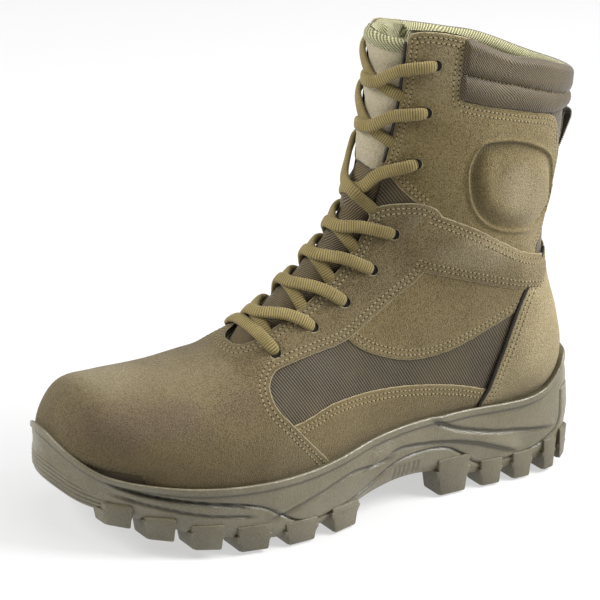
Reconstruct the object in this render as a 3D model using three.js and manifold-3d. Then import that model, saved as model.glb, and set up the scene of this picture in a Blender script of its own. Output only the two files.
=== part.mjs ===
// Eight-inch combat boot for the left foot, size EU 43, standing empty on its sole.
// Millimetres: the toe points to -Y, the outer side of the foot is +X, and the lug soles lie on Z = 0.
import * as THREE from 'three';
import { mergeVertices } from 'three/addons/utils/BufferGeometryUtils.js';
import Module from 'manifold-3d';

const wasm = await Module();
wasm.setup();

// Driving dimensions: the tread outline is laid out on bootLength, and the walls stand a little inside it
const bootLength = 308;
const heelBack = bootLength / 2;
const wall = 2.2;
const gap = 0.3;
const insoleThickness = 4;
const eyeletRadius = 2.7;
const laceWidth = 6.6;
const laceThickness = 3.2;
const tonguePadding = 6.5;
const counterLift = 1.5;
const collarLift = 3.4;

// The last, as sections from the toe (station -2) over the instep to the top of the shaft (station 16).
// Each section lies in the plane through its back point, on the sole or the heel, and its front point,
// on the vamp or the shin. Axis and half give its middle and half width across the foot, belly is the
// share of the way from back to front where it is widest, and low and high are the roundness of its
// two ends: 2 is an ellipse, more is squarer.
const last = table(
  ['station', 'backY', 'backZ', 'frontY', 'frontZ', 'axis', 'half', 'belly', 'low', 'high'],
  [
    [-2, -149.5, 46, -149.5, 46, -13.5, 49, 0.36, 2.6, 2.1],
    [-0.95, -136, 29, -136, 81, -12.5, 46.4, 0.34, 2.8, 2.1],
    [-0.2, -115.5, 25, -115.5, 80.5, -8.3, 45.8, 0.31, 3.0, 2.1],
    [0.4, -94, 22, -94, 81, -4.3, 46.8, 0.29, 3.1, 2.05],
    [1, -70, 20.5, -70, 85.5, -1.8, 48, 0.28, 3.2, 2.0],
    [2, -42, 21, -54, 93, 1, 46.5, 0.28, 3.2, 1.95],
    [3, -8, 23, -38, 104.5, 3.2, 40.8, 0.28, 3.2, 1.9],
    [4, 28, 27, -22, 118, 2, 35.6, 0.29, 3.2, 1.9],
    [5, 68, 31.5, -8, 131.5, 0.8, 34.4, 0.32, 3.2, 1.95],
    [6, 108, 33.5, 2.5, 143.5, 0.4, 34.8, 0.37, 3.1, 2.0],
    [7, 139, 40, 9.5, 155.5, 0.2, 35.2, 0.42, 2.8, 2.1],
    [8, 145, 62, 13.5, 167.5, 0, 35.6, 0.45, 2.5, 2.15],
    [9, 139, 85, 16.3, 179.5, 0, 36, 0.47, 2.35, 2.2],
    [10, 129.5, 109, 18, 191.5, 0, 36.2, 0.48, 2.3, 2.25],
    [11, 126, 133, 19.3, 203.5, 0, 36, 0.49, 2.25, 2.3],
    [12, 128.8, 156, 20, 215, 0, 35.5, 0.5, 2.25, 2.35],
    [13, 131.3, 179, 20, 226.5, 0, 34.3, 0.5, 2.25, 2.4],
    [14, 132, 201, 19.2, 238, 0, 32.8, 0.5, 2.25, 2.4],
    [15, 132.5, 222, 18, 249, 0, 31.3, 0.5, 2.25, 2.4],
    [16, 133, 243, 17, 260, 0, 30.6, 0.5, 2.25, 2.4],
  ],
);

// From the ball forward the sections close in on the toe tip as superellipses.
const ballY = -70;
const toeTip = { station: -2, y: -149.5, z: 46 };
const toePlanRound = 2.3;
const toeHeightRound = 4;

// Top edge of the upper in side view: the inner side of the boot stands a little lower at the shin.
const topEdge = {
  lateral: [[0, 247], [12, 250], [22, 252.5], [33, 253.5], [42, 252.5], [51, 250], [62, 244.5], [72, 240.5],
    [82, 237.5], [95, 235], [108, 231], [120, 226.5], [130, 222.5], [150, 219]],
  medial: [[0, 244], [12, 246.5], [22, 247.5], [33, 245.5], [42, 242.5], [58, 239.5], [70, 237], [82, 234],
    [97, 231.5], [105, 228.5], [114, 224.5], [127, 220.5], [150, 219]],
};

// Half width of the throat between the two rows of eyelets, by station.
const throat = table(
  ['station', 'half'],
  [[1.86, 1.5], [1.92, 4.5], [2.05, 7.5], [2.4, 11.5], [2.9, 13.2], [3.8, 14.2], [5, 13.4], [7, 12.4], [9, 12.4],
    [10.5, 14.2], [12.5, 15.6], [14.5, 16.2], [16, 16.8]],
);

// Eyelets of one side: station, and distance from the middle of the throat.
const eyelets = table(
  ['station', 'side'],
  [[2.61, 22.5], [3.73, 22], [4.7, 21.4], [5.85, 20.6], [7.23, 21.2], [10.2, 24.8], [12.3, 25.6], [14.3, 25.7]],
);

// Plan outline of the tread, across the foot against distance from the heel's back.
const treadOutline = table(
  ['x', 'fromHeel'],
  [[0, 0], [15, 1.8], [25.5, 6.5], [33, 15], [37, 30], [38.3, 52], [38.3, 80], [39.5, 110], [44, 140], [51, 168],
    [54, 195], [52.8, 222], [46.8, 248], [34.5, 272], [20.5, 290], [5, 302], [-12, 308], [-27, 305.3],
    [-37.5, 299], [-45, 287], [-51, 270], [-54, 248], [-54, 225], [-51, 200], [-44, 170], [-38, 140],
    [-36, 110], [-37.5, 80], [-38.3, 52], [-37, 30], [-33, 15], [-25.5, 6.5], [-15, 1.8]],
);

// Heights of the sole by distance from the heel's back: the web between the lugs, and the rim round the upper.
const soleHeights = table(
  ['fromHeel', 'web', 'rim'],
  [[0, 12, 62], [10, 9.8, 61], [20, 9, 54.5], [28, 8, 49], [38, 7.3, 46], [60, 6.6, 45], [78, 8.2, 45.5],
    [90, 11.5, 45.8], [102, 14.2, 46], [125, 15.5, 45.4], [140, 13.6, 44.2], [155, 10.4, 42.4],
    [168, 7.6, 40.3], [182, 5.8, 38.2], [202, 4.6, 36.4], [212, 5.4, 36], [230, 8.2, 35.8], [253, 12.6, 36.4],
    [272, 18.3, 37.8], [283, 21.2, 39.3], [291, 24.4, 41.5], [300, 28, 47.5], [308, 33, 54]],
);

// Parting line between outsole and midsole in side view: heel cup, arch, ball, then up behind the toe bumper.
const partingLine = [[-8, 46], [16, 45], [17, 37], [17, 28.5], [19.5, 23.5], [31, 17.2], [49, 13.6], [62, 12.6],
  [71, 13.6], [77, 16.6], [84, 22], [93, 27], [103, 28.6], [115, 28.6], [127, 27], [152, 16.2], [168, 12.4],
  [181, 10.8], [188, 11], [195, 13], [203, 17.6], [212, 22.6], [220, 25.4], [232, 27.8], [242, 29], [254, 30.4],
  [268, 32.2], [279, 34.2], [287, 37], [292, 42], [294, 70], [320, 70]];

// Bed under the insole board, by distance from the heel's back.
const bed = table(
  ['fromHeel', 'z'],
  [[0, 42], [15, 40], [46, 33.5], [86, 31.5], [126, 27], [162, 23], [196, 21], [224, 20.5], [248, 22], [270, 25],
    [290, 29], [308, 44]],
);

// Lugs on each edge: centre and length along the edge, reach under the foot, underside height,
// and the height that the outer face climbs to.
const edgeLugs = table(
  ['fromHeel', 'length', 'reach', 'under', 'climb'],
  [
    [12.5, 9, 15, 4, 22], [24, 10, 17, 0.8, 17.5], [43, 14, 19, 0, 15], [63.5, 15, 20, 0, 14.5],
    [88.5, 21, 22, 0, 22], [163, 19, 22, 0, 14], [191.5, 21, 24, 0, 12.6], [219, 20, 25, 0.8, 16],
    [243.5, 18, 23, 4, 19], [265.5, 15, 20, 9, 22.5], [283.5, 12, 15, 14.5, 28],
  ],
);

// Chevron lugs along the middle of the tread: position, width across, length, sweep, underside height.
const middleLugs = table(
  ['fromHeel', 'x', 'width', 'length', 'sweep', 'under'],
  [
    [20, 0, 26, 9, 3, 1.5], [36, 0, 24, 9, 3, 0], [54, 0, 24, 9, 3, 0], [73, 0, 24, 9, 3, 0],
    [166, 2, 30, 11, 6, 0], [186, 2, 36, 11, 6, 0], [206, 0, 38, 11, 6, 0.3], [226, -2, 36, 11, 6, 1.8],
    [246, -4, 32, 10, 6, 4.8], [266, -6, 26, 10, 5, 9.2],
  ],
);

// Heel counter and collar pad in side view.
const counterOutline = [[72, 20], [79.5, 43.5], [82, 50.5], [84.8, 56], [88.2, 69], [91, 77.5], [93.6, 86.6],
  [96.2, 95.8], [98.8, 104.4], [102, 111], [108, 118], [119, 124.5], [132, 127], [175, 128], [175, 20]];
const collarOutline = [[50, 218.5], [60, 216], [72, 212.5], [85, 208.8], [100, 203.8], [116, 199.4],
  [132, 197.6], [150, 197.6], [150, 275], [49, 275], [49.4, 250]];

// Pull loop behind the shaft, just under the collar: outline, and the hole for a finger
const loopOutline = [[120, 196.4], [137.2, 196.4], [139.2, 193.6], [138, 188], [132, 173], [120, 173]];
const loopHole = [[133.6, 194.2], [136.4, 194.2], [137.2, 192.8], [136.2, 188.4], [133.6, 182]];
const loopHalfWidth = 9;

// Moulded ankle pad: its centre, half length, half height and rise.
const anklePad = { y: 87, z: 169.5, halfY: 31, halfZ: 26, tilt: -0.22, rise: 2.2 };

// Colours of the finished materials
const suede = { color: 0x8a805f, roughness: 0.95, metalness: 0 };
const suedeDark = { color: 0x7d7353, roughness: 0.95, metalness: 0 };
const nylon = { color: 0x5f5545, roughness: 0.8, metalness: 0 };
const laceCord = { color: 0x9a8e66, roughness: 0.9, metalness: 0 };
const foam = { color: 0x8a8371, roughness: 0.75, metalness: 0 };
const rubber = { color: 0x7a7260, roughness: 0.65, metalness: 0 };
const webbing = { color: 0x6b6148, roughness: 0.9, metalness: 0 };
const liner = { color: 0x9da27a, roughness: 0.95, metalness: 0 };

// Rows of numbers under named columns
function table(columns, rows) {
  return rows.map((row) => Object.fromEntries(columns.map((name, i) => [name, row[i]])));
}

// Value of one column at a place along another, on a smooth cubic through the rows
function along(rows, by, name, at) {
  const end = rows.length - 1;
  let i = 0;
  while (i < end - 1 && at > rows[i + 1][by]) i += 1;
  const rise = (a, b) => (rows[b][name] - rows[a][name]) / (rows[b][by] - rows[a][by]);
  const slope = (k) => {
    if (k === 0) return rise(0, 1);
    if (k === end) return rise(end - 1, end);
    const share = (rows[k][by] - rows[k - 1][by]) / (rows[k + 1][by] - rows[k - 1][by]);
    return rise(k - 1, k) * (1 - share) + rise(k, k + 1) * share;
  };
  const span = rows[i + 1][by] - rows[i][by];
  const t = THREE.MathUtils.clamp((at - rows[i][by]) / span, 0, 1);
  const start = (1 + 2 * t) * (1 - t) ** 2 * rows[i][name] + t * (1 - t) ** 2 * slope(i) * span;
  return start + t * t * (3 - 2 * t) * rows[i + 1][name] + t * t * (t - 1) * slope(i + 1) * span;
}

function superellipse(share, power) {
  return (1 - Math.min(share, 1) ** power) ** (1 / power);
}

// The section at one station, with the toe closed in
function section(station) {
  const row = Object.fromEntries(Object.keys(last[0]).map((name) => [name, along(last, 'station', name, station)]));
  if (station < 1) {
    const share = (station - toeTip.station) / (1 - toeTip.station);
    const reach = Math.cos((share * Math.PI) / 2);
    const lift = superellipse(reach, toeHeightRound);
    row.frontY = ballY + (toeTip.y - ballY) * reach;
    row.backY = row.frontY;
    row.frontZ = toeTip.z + (row.frontZ - toeTip.z) * lift;
    row.backZ = toeTip.z + (row.backZ - toeTip.z) * lift;
    row.half *= superellipse(reach, toePlanRound);
  }
  return row;
}

// Point of the upper's outer skin. The angle turns round the section: 0 at the front or top,
// a quarter turn at the outer side, half a turn at the back or underside.
function skinPoint(station, angle) {
  const row = section(station);
  const across = Math.sin(angle);
  const ahead = Math.cos(angle);
  const power = 2 / (ahead >= 0 ? row.high : row.low);
  const share = ahead >= 0
    ? row.belly + (1 - row.belly) * ahead ** power
    : row.belly - row.belly * (-ahead) ** power;
  return new THREE.Vector3(
    row.axis + row.half * Math.sign(across) * Math.abs(across) ** power,
    row.backY + (row.frontY - row.backY) * share,
    row.backZ + (row.frontZ - row.backZ) * share,
  );
}

function skinNormal(station, angle) {
  const step = 0.02;
  const along0 = skinPoint(Math.max(station - step, -1.99), angle);
  const along1 = skinPoint(Math.min(station + step, 16), angle);
  const round0 = skinPoint(station, angle - step);
  const round1 = skinPoint(station, angle + step);
  return new THREE.Vector3().crossVectors(round1.sub(round0), along1.sub(along0)).normalize();
}

// Skin moved outwards by a lift, which may be a number or a function of the point
function skinAt(station, angle, lift = 0) {
  const point = skinPoint(station, angle);
  const rise = typeof lift === 'function' ? lift(point) : lift;
  return point.addScaledVector(skinNormal(station, angle), rise);
}

// Angle at which a section of the front half lies at a given distance across the foot
function angleAcross(station, x) {
  const row = section(station);
  const share = THREE.MathUtils.clamp((x - row.axis) / row.half, -1, 1);
  return Math.sign(share) * Math.asin(Math.abs(share) ** (row.high / 2));
}

// Raised oval of the ankle pad, full over its middle and sloping off at its rim
function padRise(point) {
  const dy = point.y - anklePad.y;
  const dz = point.z - anklePad.z;
  const y = (dy * Math.cos(anklePad.tilt) - dz * Math.sin(anklePad.tilt)) / anklePad.halfY;
  const z = (dy * Math.sin(anklePad.tilt) + dz * Math.cos(anklePad.tilt)) / anklePad.halfZ;
  const out = (Math.abs(y) ** 3 + Math.abs(z) ** 3) ** (1 / 3);
  return anklePad.rise * (1 - THREE.MathUtils.smoothstep(out, 0.8, 1.05));
}

function solidFrom(vertices, faces) {
  return new wasm.Manifold(new wasm.Mesh({
    numProp: 3,
    vertProperties: Float32Array.from(vertices.flatMap((v) => [v.x, v.y, v.z])),
    triVerts: Uint32Array.from(faces.flat()),
  }));
}

// Solid between rings of equal length. Each end is closed on its middle point, or, for a long
// flat ring, by strips from side to side.
function loft(rings, strips = false) {
  const count = rings[0].length;
  const vertices = rings.flat();
  const faces = [];
  for (let i = 0; i + 1 < rings.length; i += 1) {
    for (let j = 0; j < count; j += 1) {
      const a = i * count + j;
      const b = i * count + ((j + 1) % count);
      faces.push([a, b, b + count], [a, b + count, a + count]);
    }
  }
  const closeEnd = (offset, turned) => {
    const put = (a, b, c) => faces.push(turned ? [a, c, b] : [a, b, c]);
    if (strips) {
      put(offset, offset + count - 1, offset + 1);
      for (let j = 1; j < count / 2 - 1; j += 1) {
        put(offset + j, offset + count - j, offset + j + 1);
        put(offset + j + 1, offset + count - j, offset + count - j - 1);
      }
      put(offset + count / 2 - 1, offset + count / 2 + 1, offset + count / 2);
      return;
    }
    const middle = new THREE.Vector3();
    for (let j = 0; j < count; j += 1) middle.addScaledVector(vertices[offset + j], 1 / count);
    vertices.push(middle);
    for (let j = 0; j < count; j += 1) put(vertices.length - 1, offset + ((j + 1) % count), offset + j);
  };
  closeEnd(0, false);
  closeEnd((rings.length - 1) * count, true);
  const solid = solidFrom(vertices, faces);
  return solid.volume() > 0 ? solid : solidFrom(vertices, faces.map(([a, b, c]) => [a, c, b]));
}

// A closed three.js geometry as a solid
function solidOf(geometry) {
  const bare = geometry.clone();
  bare.deleteAttribute('normal');
  bare.deleteAttribute('uv');
  const merged = mergeVertices(bare, 1e-4);
  return new wasm.Manifold(new wasm.Mesh({
    numProp: 3,
    vertProperties: new Float32Array(merged.attributes.position.array),
    triVerts: new Uint32Array(merged.index.array),
  }));
}

// Outline in side view (Y, Z), pushed across the foot from one X to another
function sidePrism(outline, fromX, toX) {
  const shape = new THREE.Shape(outline.map(([y, z]) => new THREE.Vector2(y, z)));
  const geometry = new THREE.ExtrudeGeometry(shape, { depth: toX - fromX, bevelEnabled: false });
  const turn = new THREE.Matrix4().makeBasis(
    new THREE.Vector3(0, 1, 0), new THREE.Vector3(0, 0, 1), new THREE.Vector3(1, 0, 0),
  );
  geometry.applyMatrix4(turn).translate(fromX, 0, 0);
  return solidOf(geometry);
}

const angleCount = 24;
const toeStations = [-1.7, -1.35, -0.95, -0.5, 0, 0.5];
const bodyStations = [1, 1.5, 2, 2.6, 3.3, 4, 4.8, 5.6, 6.3, 7, 7.5, 8, 8.7, 9.5, 10.5, 11.6, 12.8, 14.2, 16];

// The closed last, its skin moved out by a lift
function lastForm(lift, topStation = 16) {
  const stations = [...toeStations, ...bodyStations.filter((s) => s <= topStation)];
  const rings = stations.map((station) => Array.from({ length: angleCount }, (_, j) => (
    skinAt(station, (j * 2 * Math.PI) / angleCount, lift)
  )));
  return loft(rings);
}

// Everything above the top edge of the upper
function aboveTopEdge() {
  const side = (edge, fromX, toX) => sidePrism([...edge, [150, 300], [0, 300]], fromX, toX);
  return side(topEdge.lateral, -0.01, 80).add(side(topEdge.medial, -80, 0));
}

const treadCurve = new THREE.CatmullRomCurve3(
  treadOutline.map(({ x, fromHeel }) => new THREE.Vector3(x, heelBack - fromHeel, 0)), true, 'centripetal',
);
const outlineCount = 60;

// Outline of the sole moved inwards, at a height given by distance from the heel's back
function soleRing(inset, height) {
  const points = treadCurve.getSpacedPoints(outlineCount).slice(0, outlineCount);
  return points.map((point, i) => {
    const before = points[(i + outlineCount - 1) % outlineCount];
    const after = points[(i + 1) % outlineCount];
    const inward = new THREE.Vector2(after.y - before.y, before.x - after.x).normalize();
    const fromHeel = heelBack - point.y;
    const move = typeof inset === 'function' ? inset(fromHeel) : inset;
    return new THREE.Vector3(point.x + inward.x * move, point.y + inward.y * move, height(fromHeel));
  });
}

const webAt = (fromHeel) => along(soleHeights, 'fromHeel', 'web', fromHeel);
const rimAt = (fromHeel) => along(soleHeights, 'fromHeel', 'rim', fromHeel);
const bedAt = (fromHeel) => along(bed, 'fromHeel', 'z', fromHeel);

// Whole sole before it is parted: a bulging wall from the web up to the rim, leaning in at the heel cup.
// The rim can be raised, to cut the pieces that stand on it.
function soleBody(raise = 0) {
  const between = (share) => (fromHeel) => (
    webAt(fromHeel) + (rimAt(fromHeel) - webAt(fromHeel)) * share + raise * share
  );
  const lean = (base, share) => (fromHeel) => base + share * 0.22 * Math.max(rimAt(fromHeel) - 46, 0);
  return loft([
    soleRing(4, between(0)),
    soleRing(lean(1.8, 0), between(0.1)),
    soleRing(lean(1.2, 0), between(0.45)),
    soleRing(lean(1.8, 0.5), between(0.8)),
    soleRing(lean(3, 1), between(1)),
  ], true);
}

// Side-view line moved sideways, so that two pieces cut along it keep a gap
function shiftLine(line, distance) {
  return line.map((point, i) => {
    const before = line[Math.max(i - 1, 0)];
    const after = line[Math.min(i + 1, line.length - 1)];
    const slope = new THREE.Vector2(after[0] - before[0], after[1] - before[1]).normalize();
    return [point[0] - slope.y * distance, point[1] + slope.x * distance];
  });
}

// Side-view lines are drawn from the heel's back; the prism needs them in Y
const fromHeelToY = (line) => line.map(([fromHeel, z]) => [heelBack - fromHeel, z]);

function belowParting() {
  const line = fromHeelToY(shiftLine(partingLine, -gap / 2));
  return sidePrism([...line, [-170, -10], [170, -10]], -80, 80);
}

function aboveParting() {
  const line = fromHeelToY(shiftLine(partingLine, gap / 2));
  return sidePrism([...line.filter(([, z]) => z < 69), [-141, 90], [170, 90]], -80, 80);
}

// Half width of the tread on one side at a distance from the heel's back
const treadDense = treadCurve.getSpacedPoints(720);
function treadHalf(side, fromHeel) {
  const near = treadDense.filter((p) => p.x * side > -13 && Math.abs(heelBack - p.y - fromHeel) < 2.5);
  return side * Math.max(...near.map((p) => p.x * side));
}

// Four-cornered block: its upper ring, and a lower ring drawn in along the tread
function block(corners, under, top, draft) {
  const middle = corners.reduce((sum, [, y]) => sum + y, 0) / corners.length;
  const ring = (z, share) => corners.map(([x, y]) => new THREE.Vector3(x, middle + (y - middle) * share, z));
  return loft([ring(under, draft), ring(top, 1)]);
}

// Lugs along both edges: the outer face stands on the tread outline and climbs the sole's wall
function edgeLug({ fromHeel, length, reach, under, climb }, side) {
  const from = fromHeel - length / 2;
  const to = fromHeel + length / 2;
  const foot = Math.max(webAt(fromHeel) + 2.5, under + 4);
  const corners = [
    [treadHalf(side, from), heelBack - from], [treadHalf(side, to), heelBack - to],
    [treadHalf(side, to) - side * reach, heelBack - to - 1.5], [treadHalf(side, from) - side * reach, heelBack - from],
  ];
  const skirt = [
    [treadHalf(side, from), heelBack - from], [treadHalf(side, to), heelBack - to],
    [treadHalf(side, to) - side * 5, heelBack - to], [treadHalf(side, from) - side * 5, heelBack - from],
  ];
  return block(corners, under, foot, 0.82).add(block(skirt, foot - 0.5, climb, 0.98));
}

function chevron({ fromHeel, x, width, length, sweep, under }) {
  const y = heelBack - fromHeel;
  const top = webAt(fromHeel) + 3;
  const wing = (side) => block([
    [x, y + length / 2 - sweep], [x, y - length / 2 - sweep],
    [x + (side * width) / 2, y - length / 2], [x + (side * width) / 2, y + length / 2],
  ], under, top, 0.8);
  return wing(1).add(wing(-1));
}

function outsole(lastCut) {
  let solid = soleBody();
  for (const lug of edgeLugs) {
    for (const side of [1, -1]) solid = solid.add(edgeLug(lug, side));
  }
  for (const lug of middleLugs) solid = solid.add(chevron(lug));
  return solid.intersect(belowParting()).subtract(lastCut);
}

function midsole(lastCut) {
  return soleBody().intersect(aboveParting()).subtract(lastCut);
}

function upper() {
  const hollow = lastForm(-wall);
  const margin = loft([soleRing(20, () => 0), soleRing(20, (fromHeel) => bedAt(fromHeel) + 6)], true);
  let solid = lastForm(padRise).subtract(hollow).subtract(margin).subtract(aboveTopEdge());
  solid = solid.subtract(throatCut());
  for (const { station, side } of eyelets) {
    for (const mirror of [1, -1]) solid = solid.subtract(eyeletCut(station, side * mirror));
  }
  return solid;
}

// Wedge that opens the throat, wide outside and in, following the shin
function throatCut() {
  const stations = [1.86, 1.92, 2.05, 2.2, 2.5, 3, 3.5, 4, 4.5, 5, 6, 7, 8, 9, 10, 11, 12, 13, 14, 15, 16];
  const rings = stations.map((station) => {
    const row = section(station);
    const half = along(throat, 'station', 'half', station);
    const inward = new THREE.Vector2(row.backY - row.frontY, row.backZ - row.frontZ).normalize();
    const corner = (x, depth) => new THREE.Vector3(x, row.frontY + inward.x * depth, row.frontZ + inward.y * depth);
    return [corner(half, -14), corner(half, 22), corner(-half, 22), corner(-half, -14)];
  });
  return loft(rings);
}

// Direction out of the skin and place of an eyelet
function eyeletPlace(station, x) {
  const angle = angleAcross(station, x);
  return { point: skinAt(station, angle), normal: skinNormal(station, angle) };
}

function eyeletCut(station, x) {
  const { point, normal } = eyeletPlace(station, x);
  const geometry = new THREE.CylinderGeometry(eyeletRadius, eyeletRadius, 14, 8);
  const turn = new THREE.Quaternion().setFromUnitVectors(new THREE.Vector3(0, 1, 0), normal);
  geometry.applyQuaternion(turn).translate(point.x, point.y, point.z);
  return solidOf(geometry);
}

// Flat board that fills the inside of the boot over the turned-in margin
function insole() {
  const board = loft([
    soleRing(0, (fromHeel) => bedAt(fromHeel) + wall + 2 * gap),
    soleRing(0, (fromHeel) => bedAt(fromHeel) + wall + 2 * gap + insoleThickness),
  ], true);
  return board.intersect(lastForm(-wall - gap));
}

// Padded tongue under the facings, standing up between them where the throat is open
function tongue() {
  const stations = [1.6, 1.86, 2.1, 2.4, 2.8, 3.3, 3.9, 4.5, 5.2, 6, 7, 8, 9, 10, 11, 12, 13, 14, 14.8, 15.1];
  const rings = stations.map((station) => {
    const under = -wall - 3 * gap;
    const halfOpen = Math.max(along(throat, 'station', 'half', station) - 1.2, 8);
    const crown = station > 2.3 ? 0 : under - 1;
    const halfWide = Math.min(20 + station, 26);
    const reach = [halfWide - 1.2, (halfWide + halfOpen) / 2, halfOpen + 0.6];
    const upperSide = [
      ...reach.map((x) => [-x, under]), [-halfOpen, crown], [-halfOpen / 2, crown + 0.8], [0, crown + 1.2],
      [halfOpen / 2, crown + 0.8], [halfOpen, crown], ...reach.toReversed().map((x) => [x, under]),
    ];
    const lowerSide = upperSide.map(([x]) => [x, under - (Math.abs(x) > halfWide - 2 ? 2 : tonguePadding)]);
    const ring = [[-halfWide, under - 1], ...upperSide, [halfWide, under - 1], ...lowerSide.toReversed()];
    return ring.map(([x, lift]) => skinAt(station, angleAcross(station, x), lift));
  });
  return loft(rings, true);
}

// An overlay between the skin and a raised form, cut to a side-view outline
function overlay(lift, outline) {
  const shell = lastForm((point) => padRise(point) + lift).subtract(lastForm((point) => padRise(point) + gap));
  return shell.intersect(sidePrism(outline, -80, 80)).subtract(aboveTopEdge());
}

// The counter's lower edge stands just clear of the sole's rim
function heelCounter() {
  return overlay(counterLift, counterOutline).subtract(soleBody(2 * gap));
}

function pullLoop() {
  return sidePrism(loopOutline, -loopHalfWidth, loopHalfWidth)
    .subtract(sidePrism(loopHole, -loopHalfWidth - 1, loopHalfWidth + 1))
    .subtract(lastForm((point) => padRise(point) + gap));
}

// Flattened cord laid over the skin through points given as station, distance across and lift
function cordOver(path) {
  const centres = path.map(([station, x, lift]) => skinAt(station, angleAcross(station, x), lift));
  const rings = path.map(([station, x], i) => {
    const before = centres[Math.max(i - 1, 0)];
    const after = centres[Math.min(i + 1, centres.length - 1)];
    const forward = after.clone().sub(before).normalize();
    const side = forward.clone().cross(skinNormal(station, angleAcross(station, x))).normalize();
    const up = side.clone().cross(forward);
    return Array.from({ length: 6 }, (_, j) => centres[i].clone()
      .addScaledVector(side, (Math.cos((j * Math.PI) / 3) * laceWidth) / 2)
      .addScaledVector(up, (Math.sin((j * Math.PI) / 3) * laceThickness) / 1.75));
  });
  return loft(rings);
}

const overFacing = laceThickness / 2 + 2 * gap;
const overTongue = overFacing + 1.4;

// The straight bar between the first pair of eyelets
function laceBar() {
  const { station, side } = eyelets[0];
  const reach = side - eyeletRadius - laceWidth / 2;
  return cordOver([-1, -0.6, 0, 0.6, 1].map((share) => [
    station, share * reach, Math.abs(share) === 1 ? overFacing : overTongue,
  ]));
}

// Two strands that come out from under the facings and cross to the next pair of eyelets
function laceCross(index) {
  const from = eyelets[index];
  const to = eyelets[index + 1];
  const start = along(throat, 'station', 'half', from.station) - 5;
  const lead = 0.34;
  const end = to.side - eyeletRadius - laceWidth / 2;
  const strand = (side) => cordOver([0, 0.3, 0.55, 0.8, 1].map((share) => [
    from.station + lead + (to.station - from.station - lead) * share,
    side * (-start + (start + end) * share),
    overTongue + (share > 0.5 ? (overFacing - overTongue) * (share - 0.5) : 0),
  ]));
  return strand(1).add(strand(-1));
}

function placed(name, solid, finish) {
  const mesh = solid.getMesh();
  const geometry = new THREE.BufferGeometry();
  geometry.setAttribute('position', new THREE.BufferAttribute(mesh.vertProperties, 3));
  geometry.setIndex(new THREE.BufferAttribute(mesh.triVerts, 1));
  geometry.computeVertexNormals();
  const part = new THREE.Mesh(geometry, new THREE.MeshStandardMaterial(finish));
  part.name = name;
  return part;
}

const boot = new THREE.Group();
const lastCut = lastForm((point) => padRise(point) + gap);
boot.add(placed('outsole', outsole(lastCut), rubber));
boot.add(placed('midsole', midsole(lastCut), foam));
boot.add(placed('upper', upper(), suede));
boot.add(placed('insole', insole(), liner));
boot.add(placed('tongue', tongue(), nylon));
boot.add(placed('heel_counter', heelCounter(), suedeDark));
boot.add(placed('collar_pad', overlay(collarLift, collarOutline), nylon));
boot.add(placed('pull_loop', pullLoop(), webbing));
boot.add(placed('lace_bar', laceBar(), laceCord));
for (let i = 0; i + 1 < eyelets.length; i += 1) boot.add(placed(`lace_cross_${i + 1}`, laceCross(i), laceCord));

// Centred on its plan
const box = new THREE.Box3().setFromObject(boot);
const middle = box.getCenter(new THREE.Vector3());
for (const mesh of boot.children) mesh.geometry.translate(-middle.x, -middle.y, -box.min.z);

export default boot;
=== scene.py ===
# A left combat boot: its looks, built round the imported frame.
# Shapes are worked out in millimetres and become metres when a mesh is made.
import math

import bmesh
import bpy
import numpy as np
from mathutils import Matrix, Vector, bvhtree, geometry, kdtree


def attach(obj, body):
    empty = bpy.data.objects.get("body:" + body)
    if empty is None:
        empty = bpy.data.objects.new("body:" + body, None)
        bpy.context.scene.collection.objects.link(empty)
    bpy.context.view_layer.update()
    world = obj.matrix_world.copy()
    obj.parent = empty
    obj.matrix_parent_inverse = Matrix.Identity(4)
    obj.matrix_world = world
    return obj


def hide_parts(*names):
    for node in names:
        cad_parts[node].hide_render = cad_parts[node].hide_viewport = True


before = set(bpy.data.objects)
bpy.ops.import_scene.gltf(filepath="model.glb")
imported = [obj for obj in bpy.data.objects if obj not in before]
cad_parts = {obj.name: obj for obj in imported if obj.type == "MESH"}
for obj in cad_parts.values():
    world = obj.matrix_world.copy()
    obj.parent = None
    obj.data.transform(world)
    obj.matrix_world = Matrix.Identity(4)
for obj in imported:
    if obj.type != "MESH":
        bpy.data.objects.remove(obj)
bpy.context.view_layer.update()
mm = 0.001

boot = {
    "heelBack": 154.0,             # Y of the sole's back
    "ballY": -70.0,                # forward of here the last closes in on the toe
    "tip": (-2.0, -149.5, 46.0),   # station, Y and Z of the toe's tip
    "top": 16.0,                   # the last station of the shaft
    "planRound": 2.3,              # how square the toe is in plan, and in height below
    "heightRound": 4.0,
    "shift": (0.145, -0.05),       # centres the plan, as in the CAD
}

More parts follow.
